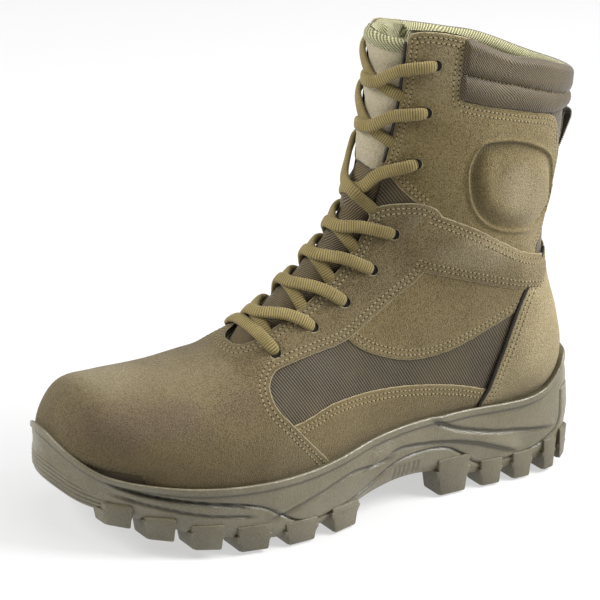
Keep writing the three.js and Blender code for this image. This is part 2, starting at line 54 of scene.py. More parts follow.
# Sections of the last: station, back Y and Z, front Y and Z, the axis in X, half the width, the share
# of the depth where it is widest, and how square it is behind and ahead of there. Stations run from
# the toe over the instep to the top of the shaft.
lastRows = np.array([
    [-2, -149.5, 46, -149.5, 46, -13.5, 49, 0.36, 2.6, 2.1],
    [-0.95, -136, 29, -136, 81, -12.5, 46.4, 0.34, 2.8, 2.1],
    [-0.2, -115.5, 25, -115.5, 80.5, -8.3, 45.8, 0.31, 3.0, 2.1],
    [0.4, -94, 22, -94, 81, -4.3, 46.8, 0.29, 3.1, 2.05],
    [1, -70, 20.5, -70, 85.5, -1.8, 48, 0.28, 3.2, 2.0],
    [2, -42, 21, -54, 93, 1, 46.5, 0.28, 3.2, 1.95],
    [3, -8, 23, -38, 104.5, 3.2, 40.8, 0.28, 3.2, 1.9],
    [4, 28, 27, -22, 118, 2, 35.6, 0.29, 3.2, 1.9],
    [5, 68, 31.5, -8, 131.5, 0.8, 34.4, 0.32, 3.2, 1.95],
    [6, 108, 33.5, 2.5, 143.5, 0.4, 34.8, 0.37, 3.1, 2.0],
    [7, 139, 40, 9.5, 155.5, 0.2, 35.2, 0.42, 2.8, 2.1],
    [8, 145, 62, 13.5, 167.5, 0, 35.6, 0.45, 2.5, 2.15],
    [9, 139, 85, 16.3, 179.5, 0, 36, 0.47, 2.35, 2.2],
    [10, 129.5, 109, 18, 191.5, 0, 36.2, 0.48, 2.3, 2.25],
    [11, 126, 133, 19.3, 203.5, 0, 36, 0.49, 2.25, 2.3],
    [12, 128.8, 156, 20, 215, 0, 35.5, 0.5, 2.25, 2.35],
    [13, 131.3, 179, 20, 226.5, 0, 34.3, 0.5, 2.25, 2.4],
    [14, 132, 201, 19.2, 238, 0, 32.8, 0.5, 2.25, 2.4],
    [15, 132.5, 222, 18, 249, 0, 31.3, 0.5, 2.25, 2.4],
    [16, 133, 243, 17, 260, 0, 30.6, 0.5, 2.25, 2.4],
], float)


# Gives a function that looks the other columns up by the first, on a smooth cubic
def smoothTable(rows):
    rows = np.asarray(rows, float)
    xs, ys = rows[:, 0], rows[:, 1:]
    gaps = np.diff(xs)
    secants = np.diff(ys, axis=0) / gaps[:, None]
    share = (gaps[:-1] / (gaps[:-1] + gaps[1:]))[:, None]
    inner = secants[:-1] * (1 - share) + secants[1:] * share
    slopes = np.vstack([secants[:1], inner, secants[-1:]])

    def at(x):
        x = np.clip(np.asarray(x, float), xs[0], xs[-1])
        i = np.clip(np.searchsorted(xs, x, side="right") - 1, 0, len(xs) - 2)
        span = gaps[i][..., None]
        t = ((x - xs[i]) / gaps[i])[..., None]
        low = (1 + 2 * t) * (1 - t) ** 2 * ys[i] + t * (1 - t) ** 2 * slopes[i] * span
        return low + t * t * (3 - 2 * t) * ys[i + 1] + t * t * (t - 1) * slopes[i + 1] * span

    return at


lastAt = smoothTable(lastRows)


def sectionAt(station):
    station = np.asarray(station, float)
    backY, backZ, frontY, frontZ, axis, half, belly, low, high = np.moveaxis(lastAt(station), -1, 0)
    tipStation, tipY, tipZ = boot["tip"]
    share = np.clip((station - tipStation) / (1 - tipStation), 0, 1)
    reach = np.cos(share * math.pi / 2)
    toe = station < 1
    lift = (1 - reach ** boot["heightRound"]) ** (1 / boot["heightRound"])
    narrow = (1 - reach ** boot["planRound"]) ** (1 / boot["planRound"])
    toeY = boot["ballY"] + (tipY - boot["ballY"]) * reach
    backY = np.where(toe, toeY, backY)
    frontY = np.where(toe, toeY, frontY)
    frontZ = np.where(toe, tipZ + (frontZ - tipZ) * lift, frontZ)
    backZ = np.where(toe, tipZ + (backZ - tipZ) * lift, backZ)
    half = np.where(toe, half * narrow, half)
    return backY, backZ, frontY, frontZ, axis, half, belly, low, high


def skinPoint(station, angle):
    station, angle = np.broadcast_arrays(np.asarray(station, float), np.asarray(angle, float))
    backY, backZ, frontY, frontZ, axis, half, belly, low, high = sectionAt(station)
    across, ahead = np.sin(angle), np.cos(angle)
    power = 2 / np.where(ahead >= 0, high, low)
    reach = np.abs(ahead) ** power
    share = np.where(ahead >= 0, belly + (1 - belly) * reach, belly - belly * reach)
    x = axis + half * np.sign(across) * np.abs(across) ** power
    return np.stack([x, backY + (frontY - backY) * share, backZ + (frontZ - backZ) * share], axis=-1)


def skinNormal(station, angle):
    step = 0.02
    station = np.asarray(station, float)
    ahead, behind = np.minimum(station + step, boot["top"]), np.maximum(station - step, -1.99)
    along = skinPoint(ahead, angle) - skinPoint(behind, angle)
    around = skinPoint(station, angle + step) - skinPoint(station, angle - step)
    normal = np.cross(around, along)
    return normal / np.maximum(np.linalg.norm(normal, axis=-1, keepdims=True), 1e-9)


# Unrolled places: u runs along the ridge of the foot and shin, v round the section from the ridge
gridStep = 0.05
stationGrid = np.linspace(boot["tip"][0], boot["top"], 361)
angleGrid = np.linspace(0, math.pi, 241)
skinGrid = skinPoint(stationGrid[:, None], angleGrid[None, :])
girthGrid = np.concatenate([np.zeros((361, 1)), np.cumsum(
    np.linalg.norm(np.diff(skinGrid, axis=1), axis=-1), axis=1)], axis=1)
halfGirth = girthGrid[:, -1]
angleByShare = np.array([np.interp(np.linspace(0, 1, 241) * g[-1], g, angleGrid) for g in girthGrid])
ridge = np.concatenate([[0], np.cumsum(np.linalg.norm(np.diff(skinGrid[:, 0], axis=0), axis=-1))])


def bilinear(table, station, column):
    row = np.clip((station - boot["tip"][0]) / gridStep, 0, 359.999)
    column = np.clip(column, 0, table.shape[1] - 1.001)
    i, j = row.astype(int), column.astype(int)
    a, b = row - i, column - j
    return ((1 - a) * (1 - b) * table[i, j] + a * (1 - b) * table[i + 1, j]
            + (1 - a) * b * table[i, j + 1] + a * b * table[i + 1, j + 1])


def girthAt(station):
    return np.interp(station, stationGrid, halfGirth)


def angleAt(station, v):
    share = np.abs(v) / np.maximum(girthAt(station), 1e-6)
    return np.sign(v) * bilinear(angleByShare, station, np.clip(share, 0, 1) * 240)


def toUv(station, angle):
    return np.stack([np.interp(station, stationGrid, ridge),
                     np.sign(angle) * bilinear(girthGrid, station, np.abs(angle) / math.pi * 240)], axis=-1)


def fromUv(uv):
    station = np.interp(uv[..., 0], ridge, stationGrid)
    return station, angleAt(station, uv[..., 1])


# The same, with v measured from the back of the leg
def toUvBack(station, angle):
    uv = toUv(station, angle)
    return np.stack([uv[..., 0], np.sign(angle) * (girthAt(station) - np.abs(uv[..., 1]))], axis=-1)


def fromUvBack(uv):
    station = np.interp(uv[..., 0], ridge, stationGrid)
    side = np.where(uv[..., 1] < 0, -1.0, 1.0)
    return station, side * np.abs(angleAt(station, girthAt(station) - np.abs(uv[..., 1])))


# How far a place in side view is from the section's widest line, with the powers and the axis there
def depthAt(station, y, z):
    backY, backZ, frontY, frontZ, axis, half, belly, low, high = sectionAt(station)
    dy, dz = frontY - backY, frontZ - backZ
    share = ((y - backY) * dy + (z - backZ) * dz) / np.maximum(dy * dy + dz * dz, 1e-6)
    front = share >= belly
    ahead = np.where(front, (share - belly) / (1 - belly), (belly - share) / belly)
    return ahead, np.where(front, high, low) / 2, np.where(front, 1, -1), axis, half


# Station and angle of points that lie on the skin or near it
def toSkin(points):
    points = np.asarray(points, float)
    low, high = np.full(len(points), -2.0), np.full(len(points), 16.0)
    for _ in range(26):
        middle = (low + high) / 2
        backY, backZ, frontY, frontZ = sectionAt(middle)[:4]
        side = (frontY - backY) * (points[:, 2] - backZ) - (frontZ - backZ) * (points[:, 1] - backY)
        low, high = np.where(side < 0, middle, low), np.where(side < 0, high, middle)
    station = (low + high) / 2
    ahead, power, sign, axis, half = depthAt(station, points[:, 1], points[:, 2])
    cosine = np.clip(ahead, 0, 1.5) ** power * sign
    offset = (points[:, 0] - axis) / np.maximum(half, 1e-6)
    sine = np.clip(np.abs(offset), 0, 1.5) ** power
    return station, np.arctan2(sine, cosine) * np.where(offset < 0, -1, 1)


# Station and angle of places given in side view, on the outer (1) or inner (-1) side
def sideToSkin(yz, side):
    yz = np.asarray(yz, float)
    points = np.column_stack([np.zeros(len(yz)), yz])
    station, _ = toSkin(points)
    ahead, power, sign, _, _ = depthAt(station, yz[:, 0], yz[:, 1])
    return station, np.arccos(np.clip(ahead, 0, 1) ** power * sign) * side


def acrossToAngle(station, x):
    *_, axis, half, _, _, roundness = sectionAt(station)
    share = np.clip((x - axis) / half, -1, 1)
    return np.sign(share) * np.arcsin(np.abs(share) ** (roundness / 2))


def smoothstep(low, high, value):
    t = np.clip((value - low) / (high - low), 0, 1)
    return t * t * (3 - 2 * t)


# The two cubic weights of a start point and of its slope at t, and with t turned round those of the end
def cubic(t):
    return (1 + 2 * t) * (1 - t) ** 2, t * (1 - t) ** 2


# Points along a smooth curve through given ones
def curveThrough(points, step=1.2, closed=False):
    points = np.asarray(points, float)
    if closed:
        run = np.vstack([points[-1:], points, points[:2]])
    else:
        run = np.vstack([2 * points[0] - points[1], points, 2 * points[-1] - points[-2]])
    out = []
    for p0, p1, p2, p3 in zip(run[:-3], run[1:-2], run[2:-1], run[3:]):
        count = max(int(np.linalg.norm(p2 - p1) / step), 1)
        d1, d2, d3 = (max(np.linalg.norm(v), 1e-6) ** 0.5 for v in (p1 - p0, p2 - p1, p3 - p2))
        m1 = (p1 - p0) / d1 - (p2 - p0) / (d1 + d2) + (p2 - p1) / d2
        m2 = (p2 - p1) / d2 - (p3 - p1) / (d2 + d3) + (p3 - p2) / d3
        for t in np.arange(count) / count:
            (start, startSlope), (stop, stopSlope) = cubic(t), cubic(1 - t)
            out.append(start * p1 + startSlope * m1 * d2 + stop * p2 - stopSlope * m2 * d2)
    if not closed:
        out.append(points[-1])
    return np.array(out)


def resample(points, step, closed=False):
    points = np.asarray(points, float)
    if closed:
        points = np.vstack([points, points[:1]])
    lengths = np.concatenate([[0], np.cumsum(np.linalg.norm(np.diff(points, axis=0), axis=1))])
    count = max(int(round(lengths[-1] / step)), 2)
    places = np.linspace(0, lengths[-1], count + 1)
    out = np.column_stack([np.interp(places, lengths, points[:, k]) for k in range(points.shape[1])])
    return out[:-1] if closed else out


# A smooth piece that rides the only body, from a mesh
def pieceOf(name, mesh, material, replaced=()):
    for polygon in mesh.polygons:
        polygon.use_smooth = True
    piece = bpy.data.objects.new(name, mesh)
    bpy.context.scene.collection.objects.link(piece)
    mesh.materials.append(material)
    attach(piece, "root")
    if replaced:
        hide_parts(*replaced)
    return piece


def newObject(name, bm, material, replaced=()):
    mesh = bpy.data.meshes.new(name)
    bm.to_mesh(mesh)
    bm.free()
    return pieceOf(name, mesh, material, replaced)


def solidified(bm, thickness):
    bmesh.ops.solidify(bm, geom=bm.faces[:], thickness=thickness * mm)
    return bm


def toMetres(points):
    return (np.asarray(points, float) + np.array([*boot["shift"], 0.0])) * mm


def toMillimetres(points):
    return np.asarray(points, float) / mm - np.array([*boot["shift"], 0.0])


# A grid whose vertices a function moves: place takes u and v from 0 to 1 and gives points in millimetres
def gridMesh(uSteps, vSteps, place, closed=False, uvOf=None):
    bm = bmesh.new()
    bmesh.ops.create_grid(bm, x_segments=uSteps, y_segments=vSteps, size=0.5)
    flat = np.array([vert.co[:2] for vert in bm.verts]) + 0.5
    points = toMetres(place(flat[:, 0], flat[:, 1]))
    places = (uvOf(flat[:, 0], flat[:, 1]) if uvOf else flat * 100) * mm
    uvLayer = bm.loops.layers.uv.new("UVMap")
    for face in bm.faces:
        for loop in face.loops:
            loop[uvLayer].uv = places[loop.vert.index]
    for vert, point in zip(bm.verts, points):
        vert.co = point
    if closed:
        bmesh.ops.remove_doubles(bm, verts=bm.verts, dist=1e-6)
    return bm


def nearest(tree, points):
    return np.array([tree.find(p)[2] for p in points])


def treeOf(points):
    tree = kdtree.KDTree(len(points))
    for i, point in enumerate(points):
        tree.insert(point, i)
    tree.balance()
    return tree


# Curve on the skin moved sideways over the skin. Positive goes to the left of its direction, seen
# from outside.
def slide(points, distance, closed=False):
    station, angle = toSkin(points)
    normal = skinNormal(station, angle)
    if closed:
        tangent = np.roll(points, -1, axis=0) - np.roll(points, 1, axis=0)
    else:
        tangent = np.gradient(points, axis=0)
    tangent = tangent / np.maximum(np.linalg.norm(tangent, axis=1, keepdims=True), 1e-9)
    return points + np.cross(normal, tangent) * distance


def onSkin(points):
    return skinPoint(*toSkin(points))


# A smooth curve on the skin through places given in side view, on the outer (1) or inner (-1) side
def sideRun(points, side, step=1.5, closed=False):
    return skinPoint(*sideToSkin(curveThrough(points, step, closed), side))


def insidePolygon(points, polygon):
    x, y = points[:, 0], points[:, 1]
    inside = np.zeros(len(points), bool)
    following = np.roll(polygon, -1, axis=0)
    for (x0, y0), (x1, y1) in zip(polygon, following):
        crosses = (y0 > y) != (y1 > y)
        if crosses.any() and y0 != y1:
            inside ^= crosses & (x < (x1 - x0) * (y - y0) / (y1 - y0) + x0)
    return inside


stitchRows = []


# The parts of a line of points where a test holds
def runsOf(row, good):
    runs, start = [], None
    for i, value in enumerate(list(good) + [False]):
        if value and start is None:
            start = i
        elif not value and start is not None:
            if i - start > 8:
                runs.append(row[start:i])
            start = None
    return runs


panelLook = {
    "thickness": 0.7, "rim": 0.8, "outlineStep": 1.1, "borderStep": 0.35,
    "rimRings": (0.3, 1.0, 2.1),          # rows of points inside the edge, in widths of the rim
    "holeRings": (0.0, 0.35, 1.0),        # rows of points round a hole, outside its edge
    "holePoints": 18,
    "stitchRows": (2.7, 5.3),             # distances of the stitches from their seam
    "seamPull": 0.16, "seamMiddle": 3.1, "seamWidth": 1.7,
}


# A cut piece of leather or cloth laid on the skin. The outline is a closed run of points on the skin,
# and lift is the height of its face over the skin. The rim is rolled down by drop, seams is a list of
# the stitched edges, and holes are punched right through. Points lie spacing apart, and also along
# the lines.
def panelPiece(name, outline, lift, material, spacing=2.4, drop=0.9, seams=(), holes=(), shape=None,
               lines=(), uvBy="side", wrap=False, replaced=(), paintedShade=None):
    rim = panelLook["rim"]
    outline = resample(outline, panelLook["outlineStep"], closed=True)
    toFlat, fromFlat = (toUvBack, fromUvBack) if wrap else (toUv, fromUv)
    flat = toFlat(*toSkin(outline))
    area = np.sum(flat[:, 0] * np.roll(flat[:, 1], -1) - np.roll(flat[:, 0], -1) * flat[:, 1])
    if area < 0:
        outline, flat = outline[::-1], flat[::-1]
    border = resample(outline, panelLook["borderStep"], closed=True)
    borderTree = treeOf(border)
    towards = slide(outline, 1.0, closed=True)
    inward = 1 if insidePolygon(toFlat(*toSkin(towards)), flat).mean() > 0.5 else -1
    places = [flat]
    for distance in [rim * k for k in panelLook["rimRings"]]:
        ring = slide(outline, distance * inward, closed=True)
        ring = ring[nearest(borderTree, ring) > distance * 0.86]
        places.append(toFlat(*toSkin(ring)))
    holeLoops = []
    for centre, radius in holes:
        cs, ca = toSkin(np.array([centre]))
        middle, normal = skinPoint(cs, ca)[0], skinNormal(cs, ca)[0]
        side = np.cross(normal, [0, 0, 1.0])
        side /= np.linalg.norm(side)
        up = np.cross(side, normal)
        turn = np.linspace(0, 2 * math.pi, panelLook["holePoints"], endpoint=False)
        spokes = np.cos(turn)[:, None] * side + np.sin(turn)[:, None] * up
        uvLoops = [toFlat(*toSkin(middle + (radius + k) * spokes)) for k in panelLook["holeRings"]]
        holeLoops.append((uvLoops[0], middle, radius))
        places.extend(uvLoops)
    for line in lines:
        places.append(toFlat(*toSkin(line)))
    uRange = np.arange(flat[:, 0].min(), flat[:, 0].max() + spacing, spacing)
    vRange = np.arange(flat[:, 1].min(), flat[:, 1].max() + spacing, spacing)
    grid = np.array([(u, v) for u in uRange for v in vRange])
    grid = grid[insidePolygon(grid, flat)]
    gs, ga = fromFlat(grid)
    solid = skinPoint(gs, ga)
    keep = nearest(borderTree, solid) > rim * 2.1 + spacing * 0.4
    for _, middle, radius in holeLoops:
        keep &= np.linalg.norm(solid - middle, axis=1) > radius + 1.8
    for line in lines:
        keep &= nearest(treeOf(resample(line, 0.7)), solid) > 0.9
    places.append(grid[keep])
    allUv = np.vstack(places)
    edges = [(i, (i + 1) % len(flat)) for i in range(len(flat))]
    result = geometry.delaunay_2d_cdt([Vector(p) for p in allUv], edges, [], 1, 1e-4)
    uv = np.array([tuple(p) for p in result[0]])
    faces = [tuple(f) for f in result[2]]
    centres = np.array([uv[list(f)].mean(axis=0) for f in faces])
    hit = insidePolygon(centres, flat)
    for uvLoop, _, _ in holeLoops:
        hit &= ~insidePolygon(centres, uvLoop)
    station, angle = fromFlat(uv)
    base, normal = skinPoint(station, angle), skinNormal(station, angle)
    distance = nearest(borderTree, base)
    for _, middle, radius in holeLoops:
        away = np.linalg.norm(base - middle, axis=1) - radius
        distance = np.minimum(distance, np.maximum(away, 0))
    round_ = np.clip(1 - distance / rim, 0, 1)
    height = lift - drop * (1 - np.sqrt(np.clip(1 - round_ ** 2, 0, 1)))
    height = height + softness(base) * smoothstep(0, 4, distance)
    if shape is not None:
        height = height + shape(base, station, angle, distance)
    seamDistance = np.full(len(base), 20.0)
    for seam in seams:
        seamDistance = np.minimum(seamDistance, nearest(treeOf(resample(seam, 0.5)), base))
    pull = np.exp(-((seamDistance - panelLook["seamMiddle"]) / panelLook["seamWidth"]) ** 2)
    height = height - panelLook["seamPull"] * pull * (seamDistance < 19)
    points = toMetres(base + normal * height[:, None])
    bm = bmesh.new()
    verts = [bm.verts.new(p) for p in points]
    for face, good in zip(faces, hit):
        if good:
            bm.faces.new([verts[i] for i in face])
    # Painted shade, given by a function such as the pad's, goes into a vertex attribute
    paintedShades = np.zeros(len(base)) if paintedShade is None else paintedShade(base, station, angle)
    for layerName, values in (("edge", distance), ("seam", seamDistance), ("paintedShade", paintedShades)):
        layer = bm.verts.layers.float.new(layerName)
        for vert, value in zip(bm.verts, values):
            vert[layer] = value
    uvLayer = bm.loops.layers.uv.new("UVMap")
    bm.verts.index_update()
    sideMap = base[:, 1:] if uvBy == "side" else np.column_stack([uv[:, 1], uv[:, 0]])
    for face in bm.faces:
        for loop in face.loops:
            loop[uvLayer].uv = sideMap[loop.vert.index] * mm
    bmesh.ops.delete(bm, geom=[v for v in bm.verts if not v.link_faces], context="VERTS")
    bm.normal_update()
    sample = [(f.normal, f.calc_center_median()) for f in list(bm.faces)[::37]]
    outward = skinNormal(*toSkin(toMillimetres([tuple(centre) for _, centre in sample])))
    if sum(float(np.dot(n, o)) for (n, _), o in zip(sample, outward)) < 0:
        bmesh.ops.reverse_faces(bm, faces=bm.faces)
    piece = newObject(name, solidified(bm, panelLook["thickness"]), material, replaced)
    rows = []
    for seam in seams:
        for gap in panelLook["stitchRows"]:
            row = resample(slide(seam, gap * inward), 0.6)
            if insidePolygon(toFlat(*toSkin(row)), flat).mean() <= 0.5:
                row = resample(slide(seam, -gap * inward), 0.6)
            good = insidePolygon(toFlat(*toSkin(row)), flat) & (nearest(borderTree, row) > gap * 0.9)
            rows.extend(runsOf(row, good))
    stitchRows.append((piece, rows))
    return piece


# Soft shape of the leather: shallow troughs and swells, in millimetres
creases = [
    # points (x, y, z), how wide, and how deep (negative stands out). Those that start on the outer
    # side are mirrored.
    ([(10, -63, 88), (30, -58, 76), (42, -52, 62)], 7.0, 0.55),
    ([(2, -78, 85), (24, -75, 77), (38, -70, 66)], 8.0, 0.35),
    ([(-20, -120, 78), (-2, -124, 76), (14, -118, 70)], 13.0, 0.5),
    ([(30, -26, 84), (32, -8, 78), (34, 8, 75)], 8.0, -0.5),
    ([(33, 30, 100), (34, 52, 97), (35, 72, 98)], 11.0, -0.8),
    ([(30, 20, 96), (32, 34, 89), (33, 50, 86)], 5.0, 0.35),
    ([(31, 52, 131), (34, 70, 127), (34, 90, 121)], 4.5, 0.5),
    ([(31, 56, 146), (34, 72, 140), (34, 92, 131)], 5.0, -0.7),
    ([(35, 52, 178), (36, 58, 200), (35, 75, 205)], 12.0, -0.5),
    ([(34, 40, 205), (35, 46, 190), (34, 48, 172)], 9.0, 0.45),
    ([(28, 108, 66), (31, 100, 84), (30, 108, 100)], 13.0, -0.7),
    ([(36, 20, 52), (37, 45, 52), (36, 70, 47)], 8.0, -0.35),
]


def softness(points):
    total = np.zeros(len(points))
    mirrored = np.column_stack([np.abs(points[:, 0]), points[:, 1], points[:, 2]])
    for line, width, depth in creases:
        source = points if line[0][0] < 0 else mirrored
        run = curveThrough(line, 3.0)
        gap = np.min(np.linalg.norm(source[:, None, :] - run[None, :, :], axis=2), axis=1)
        total -= depth * np.exp(-(gap / width) ** 2)
    y, z = points[:, 1], points[:, 2]
    return total + 0.12 * np.sin(y * 0.21 + z * 0.13) * np.sin(z * 0.19 - y * 0.07)


# Seams and edges in side view, as Y and Z
edges = {
    "mudguard": [(-47, 61), (-39, 62.2), (-31.5, 63.8), (-18.5, 67.5), (-5, 68.5), (8, 68.8), (27, 68),
                 (46, 65.5), (65.7, 61.5), (84.2, 55.6), (95, 51.5)],
    "swoosh": [(-10, 103), (-4.7, 98), (-1.2, 94.3), (5.9, 89.5), (14.6, 85.8), (23.5, 82.9), (32.7, 81),
               (44.8, 80.8), (56.8, 82.8), (68.7, 86.6), (80.6, 91.5), (93.8, 97.3), (103, 101.5)],
    "bandLow": [(33, 129.5), (39.7, 126.8), (53.4, 123.2), (71, 118.2), (93.7, 111.5), (101.5, 109.5),
                (112, 106.8)],
    "bandHigh": [(38, 160.5), (45.7, 157.3), (60.6, 151.2), (79.8, 141.2), (94.3, 133.1), (108, 127.6),
                 (118.5, 124), (124, 122.4)],
    "collarFront": [(51.5, 250.2), (50.5, 240), (49.6, 222), (50.4, 218.4)],
    "collarLow": [(50.4, 218.4), (59, 216), (71, 213), (84, 210), (96, 207), (106, 204.3), (113, 200.5),
                  (117, 195), (119, 189)],
    "shaftBack": [(119, 189), (121, 184), (123.2, 178), (122.6, 167), (121.5, 155), (119, 146), (114, 137),
                  (108, 131.5)],
    "topEdge": [(0, 247), (12, 250), (22, 252.5), (33, 253.5), (42, 252.5), (51, 250.2), (62, 245.5),
                (72, 241), (82, 237.8), (95, 235), (108, 231), (120, 226.5), (130, 222.5), (150, 219)],
    "topEdgeInner": [(0, 244), (12, 246.5), (22, 247.5), (33, 246), (42, 243.5), (58, 239.8), (70, 237.2),
                     (82, 234.5), (97, 231.5), (108, 228), (120, 223.5), (130, 220.5), (150, 218)],
}

# Half the width of the throat at each station
throatRows = np.array([[1.86, 1.2], [1.9, 3.5], [1.97, 5.8], [2.08, 8], [2.4, 11], [2.9, 12.9], [3.8, 14.0],
                       [5, 13.2], [7, 12.2], [9, 12.2], [10.5, 14], [12.5, 15.4], [14.5, 16.2], [16, 16.8]])
throatAt = smoothTable(throatRows)

# Station of each pair of eyelets, and their distance from the middle
eyelets = [(2.61, 22.5), (3.73, 22), (4.7, 21.4), (5.85, 20.6),
           (7.23, 21.2), (10.2, 24.8), (12.3, 25.6), (14.3, 25.7)]
eyeletRadius = 2.7


def sideCurve(name, side):
    return sideRun(edges[name], side, 1.2)


def throatEdge(side, first, last):
    stations = np.arange(first, last + gridStep / 2, gridStep)
    return skinPoint(stations, acrossToAngle(stations, side * throatAt(stations)[:, 0]))


def topEdgeZ(y, side):
    run = curveThrough(edges["topEdge" if side > 0 else "topEdgeInner"], 2.0)
    return np.interp(y, run[:, 0], run[:, 1])


def eyeletPoint(index, side):
    station, x = eyelets[index]
    angle = acrossToAngle(np.array([station]), np.array([side * x]))
    return skinPoint(np.array([station]), angle)[0]


# Station at which a turn round the shaft meets a height line given in side view
def stationOn(angle, heightAt):
    low, high = np.full(len(angle), 8.5), np.full(len(angle), boot["top"])
    for _ in range(24):
        middle = (low + high) / 2
        point = skinPoint(middle, angle)
        above = point[:, 2] > heightAt(point[:, 1])
        low, high = np.where(above, low, middle), np.where(above, middle, high)
    return (low + high) / 2


# Materials: every colour is worked out in the object's space, on the UV map or from a vertex attribute
def linear(r, g, b):
    return tuple(((c / 255 + 0.055) / 1.055) ** 2.4 for c in (r, g, b)) + (1.0,)


# A colour made lighter or darker by one number, or by one for each channel
def shade(colour, tone):
    tones = (tone,) * 3 if isinstance(tone, float) else tone
    return tuple(c * t for c, t in zip(colour, tones)) + (1.0,)


def newMaterial(name):
    material = bpy.data.materials.new(name)
    material.use_nodes = True
    return material, material.node_tree, material.node_tree.nodes["Principled BSDF"]


# Links each value that is a socket, and sets each one that is a constant
def feed(tree, sockets, values):
    for socket, value in zip(sockets, values):
        if isinstance(value, bpy.types.NodeSocket):
            tree.links.new(value, socket)
        else:
            socket.default_value = value


def noise(tree, coords, scale, detail=3.0, roughness=0.55):
    node = tree.nodes.new("ShaderNodeTexNoise")
    sockets = (node.inputs[k] for k in ("Vector", "Scale", "Detail", "Roughness"))
    feed(tree, sockets, (coords, scale, detail, roughness))
    return node.outputs["Fac"]


def ramp(tree, value, stops):
    node = tree.nodes.new("ShaderNodeValToRGB")
    element = node.color_ramp.elements
    element[0].position, element[0].color = stops[0]
    element[1].position, element[1].color = stops[-1]
    for position, colour in stops[1:-1]:
        element.new(position).color = colour
    tree.links.new(value, node.inputs["Fac"])
    return node.outputs["Color"]


def mix(tree, factor, first, second):
    node = tree.nodes.new("ShaderNodeMix")
    node.data_type = "RGBA"
    feed(tree, (node.inputs[0], node.inputs[6], node.inputs[7]), (factor, first, second))
    return node.outputs[2]


def maths(tree, kind, first, second=0.0):
    node = tree.nodes.new("ShaderNodeMath")
    node.operation = kind
    feed(tree, node.inputs, (first, second))
    return node.outputs[0]


def times(tree, first, second):
    return maths(tree, "MULTIPLY", first, second)


# Adds two values, each multiplied by its own share
def blended(tree, first, firstShare, second, secondShare):
    return maths(tree, "ADD", times(tree, first, firstShare), times(tree, second, secondShare))


def spread(tree, value, low, high, outLow=0.0, outHigh=1.0):
    node = tree.nodes.new("ShaderNodeMapRange")
    node.interpolation_type = "SMOOTHSTEP"
    sockets = (node.inputs[k] for k in ("Value", "From Min", "From Max", "To Min", "To Max"))
    feed(tree, sockets, (value, low, high, outLow, outHigh))
    return node.outputs["Result"]


def bump(tree, shader, height, distance, strength=1.0, below=None):
    node = tree.nodes.new("ShaderNodeBump")
    feed(tree, (node.inputs[k] for k in ("Distance", "Strength", "Height")), (distance, strength, height))
    if below is not None:
        tree.links.new(below, node.inputs["Normal"])
    tree.links.new(node.outputs["Normal"], shader.inputs["Normal"])
    return node.outputs["Normal"]


def attribute(tree, name):
    node = tree.nodes.new("ShaderNodeAttribute")
    node.attribute_name = name
    return node.outputs["Fac"]


def objectCoords(tree):
    return tree.nodes.new("ShaderNodeTexCoord").outputs["Object"]


def apart(tree, vector):
    node = tree.nodes.new("ShaderNodeSeparateXYZ")
    tree.links.new(vector, node.inputs[0])
    return node.outputs


# Colour and constants go on the shader's own sockets
def dress(tree, shader, colour, settings):
    feed(tree, [shader.inputs["Base Color"]], [colour])
    feed(tree, (shader.inputs[k] for k in settings), settings.values())


# A soft round patch in the object's space, with a ragged border
def patch(tree, coords, centre, size, ragged):
    mapping = tree.nodes.new("ShaderNodeMapping")
    mapping.vector_type = "TEXTURE"
    mapping.inputs["Location"].default_value = [c * mm for c in centre]
    mapping.inputs["Scale"].default_value = [s * mm for s in size]
    tree.links.new(coords, mapping.inputs["Vector"])
    length = tree.nodes.new("ShaderNodeVectorMath")
    length.operation = "LENGTH"
    tree.links.new(mapping.outputs["Vector"], length.inputs[0])
    rough = blended(tree, length.outputs["Value"], 1.0, ragged, 0.9)
    return spread(tree, rough, 0.75, 1.65, 1.0, 0.0)


suedeLook = {
    "light": linear(150, 137, 102), "base": linear(116, 103, 71), "deep": linear(80, 69, 43),
    "low": linear(84, 72, 46), "highlightAndWear": linear(164, 152, 122), "highlightAndWearDeep": linear(122, 110, 82),
    "worn": linear(112, 97, 82), "wornDeep": linear(80, 68, 56), "cut": linear(170, 158, 124),
    "napScale": 2500, "tuftScale": 1250, "cloudScale": 38, "driftScale": 11,
    "paintedShadeFrom": 0.045, "paintedShadeTo": 0.098,    # height of the painted shade on the suede by the sole, in metres
    "shader": {"Roughness": 0.93, "Specular IOR Level": 0.16, "Sheen Weight": 0.34, "Sheen Roughness": 0.45,
               "Sheen Tint": linear(226, 222, 206)},
}


